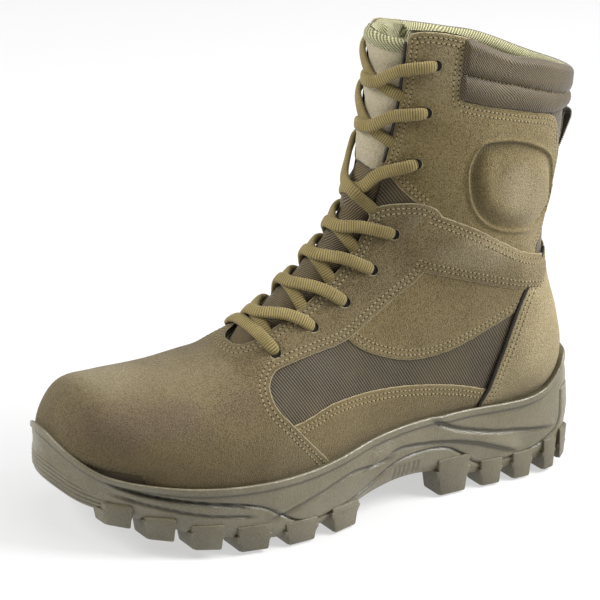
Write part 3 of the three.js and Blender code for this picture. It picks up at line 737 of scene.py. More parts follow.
def suedeMaterial(name, tone, scuffs=(), highlightAndWear=()):
    material, tree, shader = newMaterial(name)
    coords = objectCoords(tree)
    nap = noise(tree, coords, suedeLook["napScale"], 1.0, 0.6)
    tuft = noise(tree, coords, suedeLook["tuftScale"], 2.0, 0.6)
    cloud = noise(tree, coords, suedeLook["cloudScale"], 4.0, 0.55)
    drift = noise(tree, coords, suedeLook["driftScale"], 2.0, 0.5)
    deep, base, light = (shade(suedeLook[k], tone) for k in ("deep", "base", "light"))
    grain = blended(tree, nap, 0.55, tuft, 0.45)
    colour = ramp(tree, blended(tree, grain, 0.88, cloud, 0.12), [(0.4, deep), (0.48, base), (0.58, light)])
    colour = mix(tree, spread(tree, drift, 0.35, 0.7, 0.0, 0.2), colour, light)
    # Scuffs are wear; the pale patches are painted highlights, on the ankle band worn nap as well
    for patches, low, high, dark, bright in ((scuffs, 0.38, 0.62, "wornDeep", "worn"),
                                             (highlightAndWear, 0.42, 0.58, "highlightAndWearDeep", "highlightAndWear")):
        for centre, size, strength in patches:
            mask = patch(tree, coords, centre, size, cloud)
            rubbed = mix(tree, spread(tree, grain, low, high), suedeLook[dark], suedeLook[bright])
            colour = mix(tree, times(tree, mask, strength), colour, rubbed)
    # Painted shade from the vertex attribute darkens the suede
    paintedShade = spread(tree, attribute(tree, "paintedShade"), 0.0, 1.0, 0.0, 0.8)
    colour = mix(tree, paintedShade, colour, shade(deep, 0.5))
    # Painted shade: the suede darkens towards the sole, to the colour low
    height = blended(tree, apart(tree, coords)[2], 1.0, cloud, 0.02)
    paintedLowShade = spread(tree, height, suedeLook["paintedShadeFrom"], suedeLook["paintedShadeTo"], 0.55, 0.0)
    colour = mix(tree, paintedLowShade, colour, suedeLook["low"])
    # Cut edges painted paler: the suede's own lighter cut edge, with a painted highlight along it
    cut = spread(tree, attribute(tree, "edge"), 0.15, 0.75, 1.0, 0.0)
    colour = mix(tree, times(tree, cut, 0.75), colour, suedeLook["cut"])
    seam = attribute(tree, "seam")
    nearSeam = times(tree, spread(tree, seam, 0.8, 2.2, 0.0, 1.0), spread(tree, seam, 5.6, 7.4, 1.0, 0.0))
    colour = mix(tree, times(tree, nearSeam, 0.22), colour, light)
    dress(tree, shader, colour, suedeLook["shader"])
    broad = bump(tree, shader, cloud, 0.0012, 0.35)
    middle = bump(tree, shader, tuft, 0.0007, 0.7, broad)
    bump(tree, shader, nap, 0.00035, 1.0, middle)
    return material


# Sine waves across and along the piece's UV map, which is in metres
def uvWaves(tree, pitch, turn, stretch=1.0):
    mapping = tree.nodes.new("ShaderNodeMapping")
    scale = 2 * math.pi / (pitch * mm)
    mapping.inputs["Rotation"].default_value = (0, 0, turn)
    mapping.inputs["Scale"].default_value = (scale, scale * stretch, scale)
    tree.links.new(tree.nodes.new("ShaderNodeUVMap").outputs["UV"], mapping.inputs["Vector"])
    place = apart(tree, mapping.outputs["Vector"])
    return maths(tree, "SINE", place[0]), maths(tree, "SINE", place[1])


nylonLook = {
    "thread": linear(154, 131, 82), "gap": linear(34, 27, 15), "shade": linear(76, 62, 38),
    "shader": {"Roughness": 0.62, "Specular IOR Level": 0.42, "Sheen Weight": 0.3, "Sheen Roughness": 0.4},
}


# Heavy twill: pitch is the distance between its ribs in millimetres, turn their slant in radians
def nylonMaterial(name, tone, pitch, turn):
    material, tree, shader = newMaterial(name)
    warp, weft = uvWaves(tree, pitch, turn)
    height = spread(tree, blended(tree, warp, 0.75, times(tree, warp, weft), 0.4), -0.6, 0.75)
    coords = objectCoords(tree)
    cloud = noise(tree, coords, 45, 3.0)
    fuzz = noise(tree, coords, 1500, 2.0)
    gap, dim, thread = (shade(nylonLook[k], tone) for k in ("gap", "shade", "thread"))
    colour = ramp(tree, height, [(0.05, gap), (0.45, dim), (0.95, thread)])
    colour = mix(tree, spread(tree, cloud, 0.35, 0.7, 0.0, 0.3), colour, thread)
    colour = mix(tree, spread(tree, fuzz, 0.45, 0.75, 0.0, 0.25), colour, gap)
    dress(tree, shader, colour, nylonLook["shader"])
    low = bump(tree, shader, cloud, 0.0008, 0.3)
    bump(tree, shader, height, 0.00032, 0.9, low)
    return material


meshLook = {
    "light": linear(184, 180, 140), "dark": linear(104, 102, 66), "pitch": 1.5, "turn": 0.5, "stretch": 0.7,
    "shader": {"Roughness": 0.9, "Specular IOR Level": 0.2, "Sheen Weight": 0.25},
}


# Spacer mesh of the lining: slanting ribs with open cells between them
def meshMaterial(name):
    material, tree, shader = newMaterial(name)
    ribs, cells = uvWaves(tree, meshLook["pitch"], meshLook["turn"], meshLook["stretch"])
    height = spread(tree, blended(tree, ribs, 1.0, cells, 0.45), -0.9, 0.7)
    fuzz = noise(tree, objectCoords(tree), 1300, 2.0)
    colour = mix(tree, height, meshLook["dark"], meshLook["light"])
    colour = mix(tree, spread(tree, fuzz, 0.4, 0.8, 0.0, 0.3), colour, meshLook["dark"])
    dress(tree, shader, colour, meshLook["shader"])
    bump(tree, shader, height, 0.0007, 0.9)
    return material


cordLook = {"Roughness": 0.82, "Specular IOR Level": 0.2, "Sheen Weight": 0.25, "Sheen Roughness": 0.4}


def cordMaterial(name, light, dark):
    material, tree, shader = newMaterial(name)
    coords = objectCoords(tree)
    fibre = noise(tree, coords, 900, 3.0, 0.65)
    cloud = noise(tree, coords, 90, 3.0)
    rib = spread(tree, attribute(tree, "rib"), 0.15, 0.8)
    colour = ramp(tree, blended(tree, rib, 0.6, fibre, 0.5), [(0.12, dark), (0.85, light)])
    colour = mix(tree, spread(tree, cloud, 0.4, 0.7, 0.0, 0.3), colour, dark)
    dress(tree, shader, colour, cordLook)
    bump(tree, shader, fibre, 0.0003, 0.6)
    return material


rubberLook = {
    "base": linear(119, 111, 85), "dark": linear(84, 77, 56), "light": linear(146, 139, 114), "shine": 0.75,
}


def rubberMaterial(name, tone, roughness):
    material, tree, shader = newMaterial(name)
    coords = objectCoords(tree)
    grain = noise(tree, coords, 1400, 2.0, 0.6)
    cloud = noise(tree, coords, 30, 4.0)
    dust = noise(tree, coords, 240, 4.0, 0.7)
    dark, base, light = (shade(rubberLook[k], tone) for k in ("dark", "base", "light"))
    colour = mix(tree, spread(tree, grain, 0.38, 0.62), shade(base, 1.1), shade(base, 0.76))
    colour = mix(tree, spread(tree, cloud, 0.4, 0.7, 0.0, 0.45), colour, light)
    colour = mix(tree, spread(tree, dust, 0.52, 0.75, 0.0, 0.3), colour, dark)
    # Painted shade in the wall's grooves and under its ridges
    colour = mix(tree, times(tree, attribute(tree, "grooveShade"), 0.9), colour, shade(dark, 0.3))
    polish = spread(tree, dust, 0.35, 0.7, roughness - 0.06, roughness + 0.12)
    dress(tree, shader, colour, {"Roughness": polish, "Specular IOR Level": rubberLook["shine"]})
    low = bump(tree, shader, dust, 0.0003, 0.3)
    bump(tree, shader, grain, 0.0003, 0.9, low)
    return material


def plainMaterial(name, colour, roughness, scale=600):
    material, tree, shader = newMaterial(name)
    grain = noise(tree, objectCoords(tree), scale, 3.0)
    mottled = mix(tree, spread(tree, grain, 0.35, 0.7), colour, shade(colour, 0.7))
    dress(tree, shader, mottled, {"Roughness": roughness})
    bump(tree, shader, grain, 0.0002, 0.5)
    return material


# Patches: centre and size in the object's space in millimetres, and strength. Scuffs are wear; pale patches
# are painted highlights
toeScuffs = [((16, -126, 64), (26, 24, 15), 0.7), ((24, -96, 66), (20, 20, 14), 0.6),
             ((32, -64, 70), (12, 16, 12), 0.35)]
vampPaintedHighlights = [((40, 36, 152), (16, 22, 20), 0.9), ((-40, 36, 152), (16, 22, 20), 0.9),
            ((-12, -118, 72), (26, 20, 22), 0.4)]
shaftPaintedHighlights = [((48, 36, 240), (40, 44, 34), 0.55), ((44, 110, 158), (20, 24, 34), 0.6),
             ((-48, 36, 240), (40, 44, 34), 0.55), ((42, 86, 168), (18, 14, 15), 0.7),
             ((-42, 86, 168), (18, 14, 15), 0.7)]
# On the ankle band the pale patches are worn nap as well as painted highlight
bandWearAndHighlight = [((40, 68, 135), (18, 30, 12), 0.65), ((-40, 68, 135), (18, 30, 12), 0.65)]
suedeVamp = suedeMaterial("suedeVamp", (0.72, 0.69, 0.69), toeScuffs, vampPaintedHighlights)
suedeSide = suedeMaterial("suedeSide", (0.78, 0.73, 0.64))
suedeShaft = suedeMaterial("suedeShaft", (0.84, 0.8, 0.68), (), shaftPaintedHighlights)
suedeBand = suedeMaterial("suedeBand", (0.82, 0.78, 0.76), (), bandWearAndHighlight)
# The counter's suede is a lighter, greyer copy: painted highlight on the back of the boot
suedeHeelPaintedLight = suedeMaterial("suedeHeelPaintedLight", (1.3, 1.3, 1.34))
suedeTongue = suedeMaterial("suedeTongue", (3.0, 3.4, 5.8))
nylonSide = nylonMaterial("nylonSide", 0.35, 1.3, -0.6)
nylonTongue = nylonMaterial("nylonTongue", 0.6, 0.8, 0.4)
nylonCollar = nylonMaterial("nylonCollar", 0.44, 1.25, -0.7)
webbingBlack = nylonMaterial("webbing", 0.45, 1.0, 0.0)
bindingDark = plainMaterial("binding", linear(44, 40, 32), 0.7)
liningMesh = meshMaterial("liningMesh")
laceCord = cordMaterial("laceCord", linear(148, 133, 88), linear(86, 74, 42))
threadCord = cordMaterial("thread", linear(196, 184, 146), linear(140, 127, 92))
holeDark = plainMaterial("stitchHole", linear(34, 29, 18), 0.95)
rubberMidsole = rubberMaterial("rubberMidsole", 0.73, 0.34)
rubberOutsole = rubberMaterial("rubberOutsole", 0.78, 0.36)
# The lugs' rubber is a darker copy of the sole's: painted shade under the foot
rubberLugPaintedShade = rubberMaterial("rubberLugPaintedShade", 0.6, 0.45)
sockMaterial = plainMaterial("sockLining", linear(96, 92, 66), 0.9, 500)
print("materials made")


# Panels of the upper
def joined(*runs):
    return np.vstack([np.asarray(run, float) for run in runs])


def otherSide(points):
    station, angle = toSkin(points)
    return skinPoint(station, -angle)


def bothSides(run, side):
    return run if side > 0 else otherSide(run)


tabRun = curveThrough([(11, 13.8, 155.8), (14.7, 18.2, 160.4), (20.9, 25.8, 163.2), (27.6, 36.5, 163.7),
                       (30.4, 42.9, 160.6), (31.2, 46, 155), (30.6, 45.6, 146.7), (29.1, 39.7, 127.9),
                       (28.3, 33, 121), (27.5, 25.6, 115.7), (27.4, 11, 105.3), (28.7, -5, 96.2),
                       (29, -20, 92.4), (29, -34, 89.3), (28.6, -45, 85.8), (30.3, -48.6, 82.4),
                       (32, -50.3, 77.8), (36, -50.2, 73.2), (40, -48.2, 69.1), (43.7, -40.9, 61.1),
                       (45.4, -32.3, 52), (43.9, -16.6, 36.4)], 1.0)
tabRun = onSkin(tabRun)
lowStations = np.concatenate([np.linspace(2.6, 0, 30), -1.93 * np.sin(np.linspace(0, math.pi / 2, 24))[1:]])
lowRun = skinPoint(lowStations, np.full(len(lowStations), 2.25))
throatLeft = throatEdge(1, 1.9, 7.2)
throatRight = throatEdge(-1, 1.9, 7.2)
vampOutline = joined(tabRun, lowRun, otherSide(lowRun)[::-1], otherSide(tabRun)[::-1],
                     throatRight[::-1], throatLeft)
vampHoles = [(eyeletPoint(k, side), eyeletRadius) for k in range(5) for side in (1, -1)]
throatRing = joined(throatRight[::-1], throatLeft)


# The vamp's toe is drawn in where the sole's bumper covers it
def toeTuck(base, *_):
    return -3.4 * smoothstep(46, 41, base[:, 2]) * smoothstep(-105, -130, base[:, 1])


vampPiece = panelPiece("vamp", vampOutline, 1.0, suedeVamp, 2.2, 1.0,
                       [tabRun, otherSide(tabRun), throatRing], vampHoles, toeTuck, uvBy="ridge")
print("vamp made", len(vampPiece.data.vertices))

for side, tag in ((1, "outer"), (-1, "inner")):
    loop = [(-54, 73), (-52, 86), (-46, 91), (-30, 95), (-8, 104), (8, 103), (30, 90), (50, 90),
            (80, 100), (98, 108), (108, 112), (96, 80), (92, 60), (88, 46), (60, 52), (20, 58), (-20, 58),
            (-38, 54), (-49, 65)]
    run = sideRun(loop, side, 1.2, True)
    panelPiece("nylonQuarter_" + tag, run, -0.35, nylonSide, 2.6, 0.2)

    top = sideCurve("mudguard", side)
    underStations = np.linspace(5.98, 2.15, 40)
    under = skinPoint(underStations, np.full(40, 2.25 * side))
    panelPiece("mudguard_" + tag, joined(top, under), 0.5, suedeSide, 2.4, 0.9, [top])

    swoosh = sideCurve("swoosh", side)
    over = sideRun([(108, 105), (108, 113), (90, 118), (70, 124), (52, 130), (40, 133), (30, 126),
                    (14, 114), (0, 108)], side)
    panelPiece("ankleQuarter_" + tag, joined(swoosh, over), 0.5, suedeSide, 2.2, 0.9, [swoosh])

    low, high = sideCurve("bandLow", side), sideCurve("bandHigh", side)
    back = sideRun([(112, 106.8), (119, 114), (124, 122.4)], side, 1.2)
    front = sideRun([(38, 160.5), (32, 148), (30, 138), (33, 129.5)], side, 1.2)
    middle = sideRun([(36, 144), (56, 137), (80, 129), (96, 122), (112, 116)], side, 1.2)

    def bandSwell(base, station, angle, distance, tree=treeOf(resample(middle, 0.8))):
        away = nearest(tree, base)
        return 1.5 * np.exp(-(away / 10.5) ** 4) * smoothstep(0, 5, distance)

    band = panelPiece("ankleBand_" + tag, joined(low, back[1:], high[::-1], front[1:]), 1.15, suedeBand,
                      2.2, 1.15, [low, high], shape=bandSwell)

    padRun = sideRun([(62, 195), (73, 196), (93, 191.5), (111, 181), (117, 168), (118, 153), (112, 145.5),
                      (101, 143), (86, 145), (72, 150), (62, 159), (57, 171), (56, 185)], side, 1.0, True)
    padLines = [slide(padRun, d, True) for d in (-2.4, -1.5, -0.8, -0.35, 0, 0.35, 0.8, 1.5, 2.6, 4.2)]
    padTree = treeOf(resample(padRun, 0.3, True))
    padFlat = toUv(*toSkin(padRun))

    def padSwell(base, station, angle, distance, tree=padTree, flat=padFlat):
        away = nearest(tree, base)
        inside = insidePolygon(toUv(station, angle), flat)
        swell = np.where(inside, 3.4 * smoothstep(2.0, 10.5, away) - 0.8 * smoothstep(0, 1.6, away), 0)
        ridge = 0.75 * np.exp(-(away / 0.8) ** 2) - 0.15 * np.exp(-((away - 2.0) / 0.9) ** 2) * ~inside
        return swell + ridge * smoothstep(0, 3, distance)

    # Painted shade on the pad: its inner slope darker towards the front and top, and a faint dark line just
    # outside its edge
    def padPaintedShade(base, station, angle, tree=padTree, flat=padFlat):
        away = nearest(tree, base)
        inside = insidePolygon(toUv(station, angle), flat)
        middle = np.array([0, 88.0, 168.0])
        leaning = np.clip(((base - middle) @ np.array([0, -0.75, 0.55])) / 26, -1, 1)
        slope = smoothstep(0.2, 1.6, away) * (1 - smoothstep(4, 9.5, away)) * (0.32 + 0.3 * leaning)
        line = np.exp(-((away - 1.5) / 0.8) ** 2) * 0.08 * ~inside
        return np.where(inside, slope, line)

    slot = throatEdge(side, 9.57, 15.6)
    slot = slot[slot[:, 2] < topEdgeZ(slot[:, 1], side) - 4.0]
    topY = np.arange(slot[-1][1] + 4.6, 51.2, 1.2)
    topRun = skinPoint(*sideToSkin(np.column_stack([topY, topEdgeZ(topY, side)]), side))
    corner = (slot[-1] + topRun[0]) / 2 + (topRun[0] - topRun[3]) * 0.35 + (slot[-1] - slot[-8]) * 0.25
    topRun = np.vstack([onSkin(np.array([corner])), topRun])
    collarFront, collarLow = sideCurve("collarFront", side), sideCurve("collarLow", side)
    collarFront = collarFront[collarFront[:, 2] < topEdgeZ(collarFront[:, 1], side) + 0.2]
    backRun = sideCurve("shaftBack", side)
    underRun = sideRun([(108, 127), (80, 136), (60, 145), (45, 152), (38, 156)], side)
    diagonal = bothSides(onSkin(curveThrough([(26.4, 34.3, 162.5), (22, 27.5, 168.8), (17.4, 22.6, 174.8),
                                              (13.8, 20.3, 179.1), (11.6, 19.5, 184)], 1.0)), side)
    outline = joined(slot, topRun, collarFront, collarLow, backRun, underRun, diagonal)
    holes = [(eyeletPoint(k, side), eyeletRadius) for k in (5, 6, 7)]
    panelPiece("shaftPanel_" + tag, outline, 0.55, suedeShaft, 2.2, 1.0,
               [slot, topRun, collarFront, collarLow, backRun, diagonal], holes, padSwell, padLines,
               paintedShade=padPaintedShade)
    print("side panels made:", tag)


# Run over the back of the leg, from a point on the outer side to its mirror, by a station at the middle
def overBack(point, stationMiddle):
    stationFrom, angleFrom = (value[0] for value in toSkin(point[None]))
    share = np.linspace(0, 1, 41)[1:-1]
    angle = angleFrom + share * 2 * (math.pi - angleFrom)
    station = stationFrom + (stationMiddle - stationFrom) * np.sin(share * math.pi)
    return skinPoint(station, np.where(angle > math.pi, angle - 2 * math.pi, angle))


backOuter = sideRun([(108, 127), (114, 137), (118, 146), (119, 155), (119.5, 167), (119, 178), (116, 187),
                     (110, 196), (106, 206)], 1, 1.2)
backOutline = joined(backOuter, overBack(backOuter[-1], 13.9), otherSide(backOuter)[::-1],
                     overBack(backOuter[0], 10.4)[::-1])
panelPiece("backNylon", backOutline, -0.3, nylonSide, 2.6, 0.2, wrap=True)

counterFront = onSkin(curveThrough([(30, 77, 36), (31, 79.6, 43.4), (33.4, 82.2, 50.3), (34.3, 84.7, 56),
                                    (35, 88.2, 69), (35.3, 90.9, 77.3), (35.4, 93.4, 86.6),
                                    (35.4, 96, 95.8), (35.3, 98.7, 104.4), (34.9, 101.4, 110),
                                    (32.7, 107, 118), (27.5, 114, 122.4), (21, 120.5, 125.8)], 1.0))
heelRun = sideRun([(77, 36), (95, 37), (112, 40), (126, 44), (135, 49)], 1)
counterOutline = joined(counterFront, overBack(counterFront[-1], 10.75), otherSide(counterFront)[::-1],
                        otherSide(heelRun), overBack(heelRun[-1], 7.45)[::-1], heelRun[::-1])
panelPiece("counter", counterOutline, 1.4, suedeHeelPaintedLight, 2.4, 1.1,
           [counterFront, otherSide(counterFront)], wrap=True, replaced=["heel_counter"])

# The panels stop short of the counter's thick front edge, and a dark cord laid along it is painted
# shadow. The gussets are the nylon at the sides of the tongue.
shadowCords = []
for side, tag in ((1, "outer"), (-1, "inner")):
    shadowRun = bothSides(slide(counterFront[10:-1], 0.5), side)
    normals = skinNormal(*toSkin(shadowRun))
    shadowCords.append((tag, shadowRun + normals * 0.9, normals))
    rows = curveThrough([(6.5, 11.6), (7.3, 12.4), (8.3, 12.6), (9.3, 12.8), (10.4, 15.2), (10.8, 24),
                         (9.6, 31), (8, 32), (6.9, 29), (6.4, 20)], 0.8, True)
    run = skinPoint(rows[:, 0], acrossToAngle(rows[:, 0], side * rows[:, 1]))
    panelPiece("gusset_" + tag, run, -0.3, nylonSide, 2.2, 0.2)
print("heel and back made")


# Body of the upper, its lining and the rolls of the collar
def throatHalf(station, extra=0.0):
    half = (throatAt(station)[..., 0] + extra) * smoothstep(1.83, 1.93, station)
    return np.where(station < 1.84, 0.0, half)


# u runs from the outer edge of the throat round by the back to the inner edge
def aroundAngle(station, u, extra=0.0):
    half = throatHalf(station, extra)
    outer, inner = acrossToAngle(station, half), acrossToAngle(station, -half)
    return outer + u * (inner + 2 * math.pi - outer)


aroundGrid = np.linspace(0, 1, 361)
rimAngle = aroundAngle(np.full(361, 15.0), aroundGrid)


def heightLine(points):
    points = np.asarray(points, float)
    return lambda y: np.interp(y, points[:, 0], points[:, 1])


# The collar's top is blended from the outer side's height to the inner side's behind the leg
outerTop, innerTop = (stationOn(rimAngle, lambda y, side=side: topEdgeZ(y, side)) for side in (1, -1))
blend = smoothstep(math.pi - 0.5, math.pi + 0.5, rimAngle)
topGrid = outerTop * (1 - blend) + innerTop * blend
lowGrid = stationOn(rimAngle, heightLine([(40, 219.5), (50.4, 218.4), (59, 216), (71, 212.5), (84, 210),
                                          (99, 206), (110, 203.6), (120, 202.6), (135, 202)]))
midGrid = stationOn(rimAngle, heightLine([(40, 234), (50, 232), (64, 228), (83, 223), (105, 216),
                                          (122, 210.5), (135, 209)]))
rimY = skinPoint(np.full(361, 14.5), rimAngle)[:, 1]
rollGrid = smoothstep(48.8, 51.0, rimY)

# How far each roll stands out, how far the pad reaches inside and at the front, and the depth of the
# puckers
collarLook = {"lower": 2.9, "upper": 3.3, "inside": 4.2, "front": 1.7, "pucker": 0.35}


def grid1(table, u):
    return np.interp(u, aroundGrid, table)


def collarParts(u):
    return grid1(topGrid, u), grid1(lowGrid, u), grid1(midGrid, u), grid1(rollGrid, u)


def placeAt(station, angle, lift, along=0.0):
    base, normal = skinPoint(station, angle), skinNormal(station, angle)
    up = skinPoint(station + 0.03, angle) - skinPoint(station - 0.03, angle)
    up = up / np.linalg.norm(up, axis=-1, keepdims=True)
    return base + normal * np.asarray(lift)[..., None] + up * np.asarray(along)[..., None]


# Dark binding sewn round each edge of the throat, standing up inside the laces
bindings = []
for side, tag in ((1, "outer"), (-1, "inner")):
    edge = throatEdge(side, 9.4, 14.9)
    edgeStation = toSkin(edge)[0]
    edgeX = np.abs(throatAt(edgeStation)[..., 0]) - 0.6
    bindAngle = acrossToAngle(edgeStation, side * edgeX)
    bindRun = placeAt(edgeStation, bindAngle, np.full(len(edge), -0.6))
    bindings.append((tag, bindRun, skinNormal(edgeStation, bindAngle)))


# The collar's cross-section: t from 0 under the panel, over both rolls to the top at 2, and down
# inside to 3
def collarSection(u, t):
    top, low, middle, roll = collarParts(u)
    outer = collarLook["upper"] * roll - 0.4 * (1 - roll)
    inner = -2.4 - collarLook["inside"] * roll - collarLook["front"] * (1 - roll)
    radius = (outer - inner) / 2
    angleTop = aroundAngle(top, u)
    step = np.linalg.norm(skinPoint(top, angleTop) - skinPoint(top - 0.05, angleTop), axis=-1) / 0.05
    shoulder = top - radius * 0.85 / step
    pucker = collarLook["pucker"] * (np.sin(u * 210) * 0.6 + np.sin(u * 331 + 1.3) * 0.4) * roll
    lower, upper = np.clip(t, 0, 1), np.clip(t - 1, 0, 1)
    arc, inside = np.clip((t - 2) * 2, 0, 1), np.clip((t - 2.5) * 2, 0, 1)
    start = low + 0.01
    station = np.where(t < 1, start + (middle - start) * lower, middle + (shoulder - middle) * upper)
    station = np.where(t > 2.5, shoulder + (low - 1.2 - shoulder) * inside, station)
    lowSwell = np.sqrt(np.clip(np.sin(math.pi * lower), 0, 1))
    highSwell = np.sqrt(np.clip(np.sin(math.pi * 0.5 * np.clip(upper * 2, 0, 1)), 0, 1))
    lowLift = (-0.4 + (collarLook["lower"] + 0.4) * lowSwell * roll + 0.6 * lower
               + pucker * (1 - lowSwell) * lower)
    highLift = 0.2 * roll + (outer - 0.2 * roll) * highSwell + pucker * (1 - highSwell)
    lift = np.where(t < 1, lowLift, highLift)
    lift = np.where((t < 2) & (roll < 0.5), np.minimum(lift, outer), lift)
    turn = arc * math.pi
    lift = np.where(t > 2, (outer + inner) / 2 + radius * np.cos(turn), lift)
    hollow = smoothstep(0.35, 1, inside)
    lift = np.where(t > 2.5, inner + (-2.5 - inner) * hollow - 0.5 * np.sin(math.pi * inside) * roll, lift)
    along = np.where((t > 2) & (t <= 2.5), radius * 0.85 * np.sin(turn), 0.0)
    station = np.where(t > 2, np.where(t > 2.5, station, shoulder), station)
    return placeAt(station, aroundAngle(station, u), lift, along)


def collarUv(u, t):
    return np.stack([u * 330, t * 17], axis=-1)


nylonEnd = 2.3
rollStart = float(np.interp(48.4, rimY[:150], aroundGrid[:150]))
rollEnd = float(1 - np.interp(48.4, rimY[::-1][:150], aroundGrid[:150]))
rolls = gridMesh(260, 74, lambda u, v: collarSection(rollStart + (rollEnd - rollStart) * u, nylonEnd * v),
                 uvOf=lambda u, v: collarUv(rollStart + (rollEnd - rollStart) * u, nylonEnd * v))
collarRolls = newObject("collarRolls", solidified(rolls, 0.4), nylonCollar, ["collar_pad"])
seamU = np.linspace(rollStart + 0.004, rollEnd - 0.004, 500)
stitchRows.append((collarRolls, [collarSection(seamU, np.full(500, 0.985))]))


def liningPlace(u, v):
    t = nylonEnd - 0.04 + v / 0.35 * (3 - nylonEnd + 0.04)
    upperPart = collarSection(u, np.clip(t, 0, 3))
    _, low, _, _ = collarParts(u)
    down = np.clip((v - 0.35) / 0.65, 0, 1)
    station = low - 1.2 + (-1.8 - low + 1.2) * down
    lowerPart = placeAt(station, aroundAngle(station, u, 0.3), np.full(station.shape, -2.5))
    return np.where((v < 0.35)[:, None], upperPart, lowerPart)


def liningUv(u, v):
    return np.stack([u * 330, np.where(v < 0.35, v / 0.35 * 45, 45 + (v - 0.35) / 0.65 * 420)], axis=-1)


lining = gridMesh(240, 150, liningPlace, uvOf=liningUv)
bmesh.ops.reverse_faces(lining, faces=lining.faces)
newObject("lining", lining, liningMesh)


def shellPlace(u, v):
    top = grid1(topGrid, u) - 0.12
    station = -1.8 + v * (top + 1.8)
    return placeAt(station, aroundAngle(station, u, 0.5), np.full(station.shape, -0.75))


shell = gridMesh(150, 170, shellPlace, uvOf=lambda u, v: np.stack([u * 330, v * 460], axis=-1))
newObject("upperShell", solidified(shell, 1.3), nylonSide, ["upper"])
print("shell, lining and collar made")


# Tongue: its end stations, and in millimetres its thickness and how high its sides, middle and swells
# stand
tongueLook = {
    "bottom": 1.65, "top": 14.95, "side": -3.4, "thick": 5.2, "crown": 0.6, "puff": 3.6, "lowPuff": 2.2,
}

# Stations where the laces press on the tongue
crossings = [3.2, 4.25, 5.3, 6.6, 8.9, 11.3, 13.35]


def tongueLift(station, x):
    half = np.maximum(throatHalf(station), 3.0)
    puff = np.where(station > 7, tongueLook["puff"], tongueLook["lowPuff"])
    press = np.ones(np.shape(station))
    for place in crossings:
        wide = 0.42 if place < 7 else 0.62
        press = press * (1 - 0.85 * np.exp(-((station - place) / wide) ** 2))
    crown = tongueLook["crown"] + puff * press
    crown = crown * smoothstep(1.9, 2.7, station) + tongueLook["side"] * (1 - smoothstep(1.9, 2.7, station))
    share = np.clip(np.abs(x) / (half + 0.6), 0, 1)
    arch = (1 - share ** 2.4) ** 0.75
    crease = 0.35 * np.sin(station * 9 + x * 0.35) * np.sin(x * 0.5 + station * 3)
    return tongueLook["side"] + (crown - tongueLook["side"]) * arch + crease * arch


def tongueHalf(station):
    return np.minimum(20 + station, 26.0)


def tonguePlace(u, v, spare=0.0):
    end = smoothstep(0.975, 1.0, v)
    thick = spare + tongueLook["thick"] * np.sqrt(np.clip(1 - end ** 2, 0, 1))
    station = tongueLook["bottom"] + v * (tongueLook["top"] - tongueLook["bottom"])
    turn = u * 2 * math.pi
    across = np.cos(turn)
    x = np.sign(across) * np.abs(across) ** 0.75 * tongueHalf(station)
    ahead = np.sin(turn)
    upper = tongueLift(station, x) - (tongueLook["thick"] - thick) / 2 + spare / 2
    lift = np.where(ahead >= 0, upper - thick / 2 + thick / 2 * np.abs(ahead) ** 0.35,
                    upper - thick / 2 - thick / 2 * np.abs(ahead) ** 0.35)
    return placeAt(station, acrossToAngle(station, x), lift)


def tongueUv(u, v):
    x = np.cos(u * 2 * math.pi) * 26
    station = tongueLook["bottom"] + v * (tongueLook["top"] - tongueLook["bottom"])
    return np.stack([x, np.interp(station, stationGrid, ridge)], axis=-1)


tongueMesh = gridMesh(110, 330, tonguePlace, True, uvOf=tongueUv)
tonguePiece = newObject("tonguePad", tongueMesh, nylonTongue, ["tongue"])


# Suede patch on the tongue, between two stations, with slightly ragged ends
patchLook = {"low": 8.9, "high": 14.62, "half": 17.5, "lift": 0.7, "ragged": 0.05, "perStation": 12}
patchTall = (patchLook["high"] - patchLook["low"]) * patchLook["perStation"]


def tonguePatchPlace(u, v):
    end = (v < 0.02) | (v > 0.98)
    station = patchLook["low"] + (patchLook["high"] - patchLook["low"]) * v
    station = station + patchLook["ragged"] * np.sin(u * 40) * np.sin(u * 23 + 1) * end
    x = (u * 2 - 1) * patchLook["half"]
    border = np.minimum(np.minimum(u, 1 - u) * 2 * patchLook["half"], np.minimum(v, 1 - v) * patchTall)
    lift = tongueLift(station, x) + patchLook["lift"] * smoothstep(-0.4, 1.2, border)
    return placeAt(station, acrossToAngle(station, x), lift)


tonguePatch = gridMesh(36, 46, tonguePatchPlace,
                       uvOf=lambda u, v: np.stack([u * 2 * patchLook["half"], v * patchTall], axis=-1))
newObject("tonguePatch", solidified(tonguePatch, 0.5), suedeTongue)
behind = gridMesh(40, 200, lambda u, v: tonguePlace(0.49 + 0.52 * u, 0.2 + 0.8 * v, 0.6),
                  uvOf=lambda u, v: np.stack([u * 60, v * 330], axis=-1))
newObject("tongueLining", solidified(behind, 0.3), liningMesh)
rimTop = gridMesh(110, 24, lambda u, v: tonguePlace(u, 0.958 + 0.042 * v, 1.0), True,
                  uvOf=lambda u, v: np.stack([u * 190, v * 16], axis=-1))
newObject("tongueRim", solidified(rimTop, 0.3), liningMesh)
print("tongue made")


# Laces
laceLook = {"width": 6.6, "thick": 3.2, "rib": 1.15, "ribDepth": 0.13}


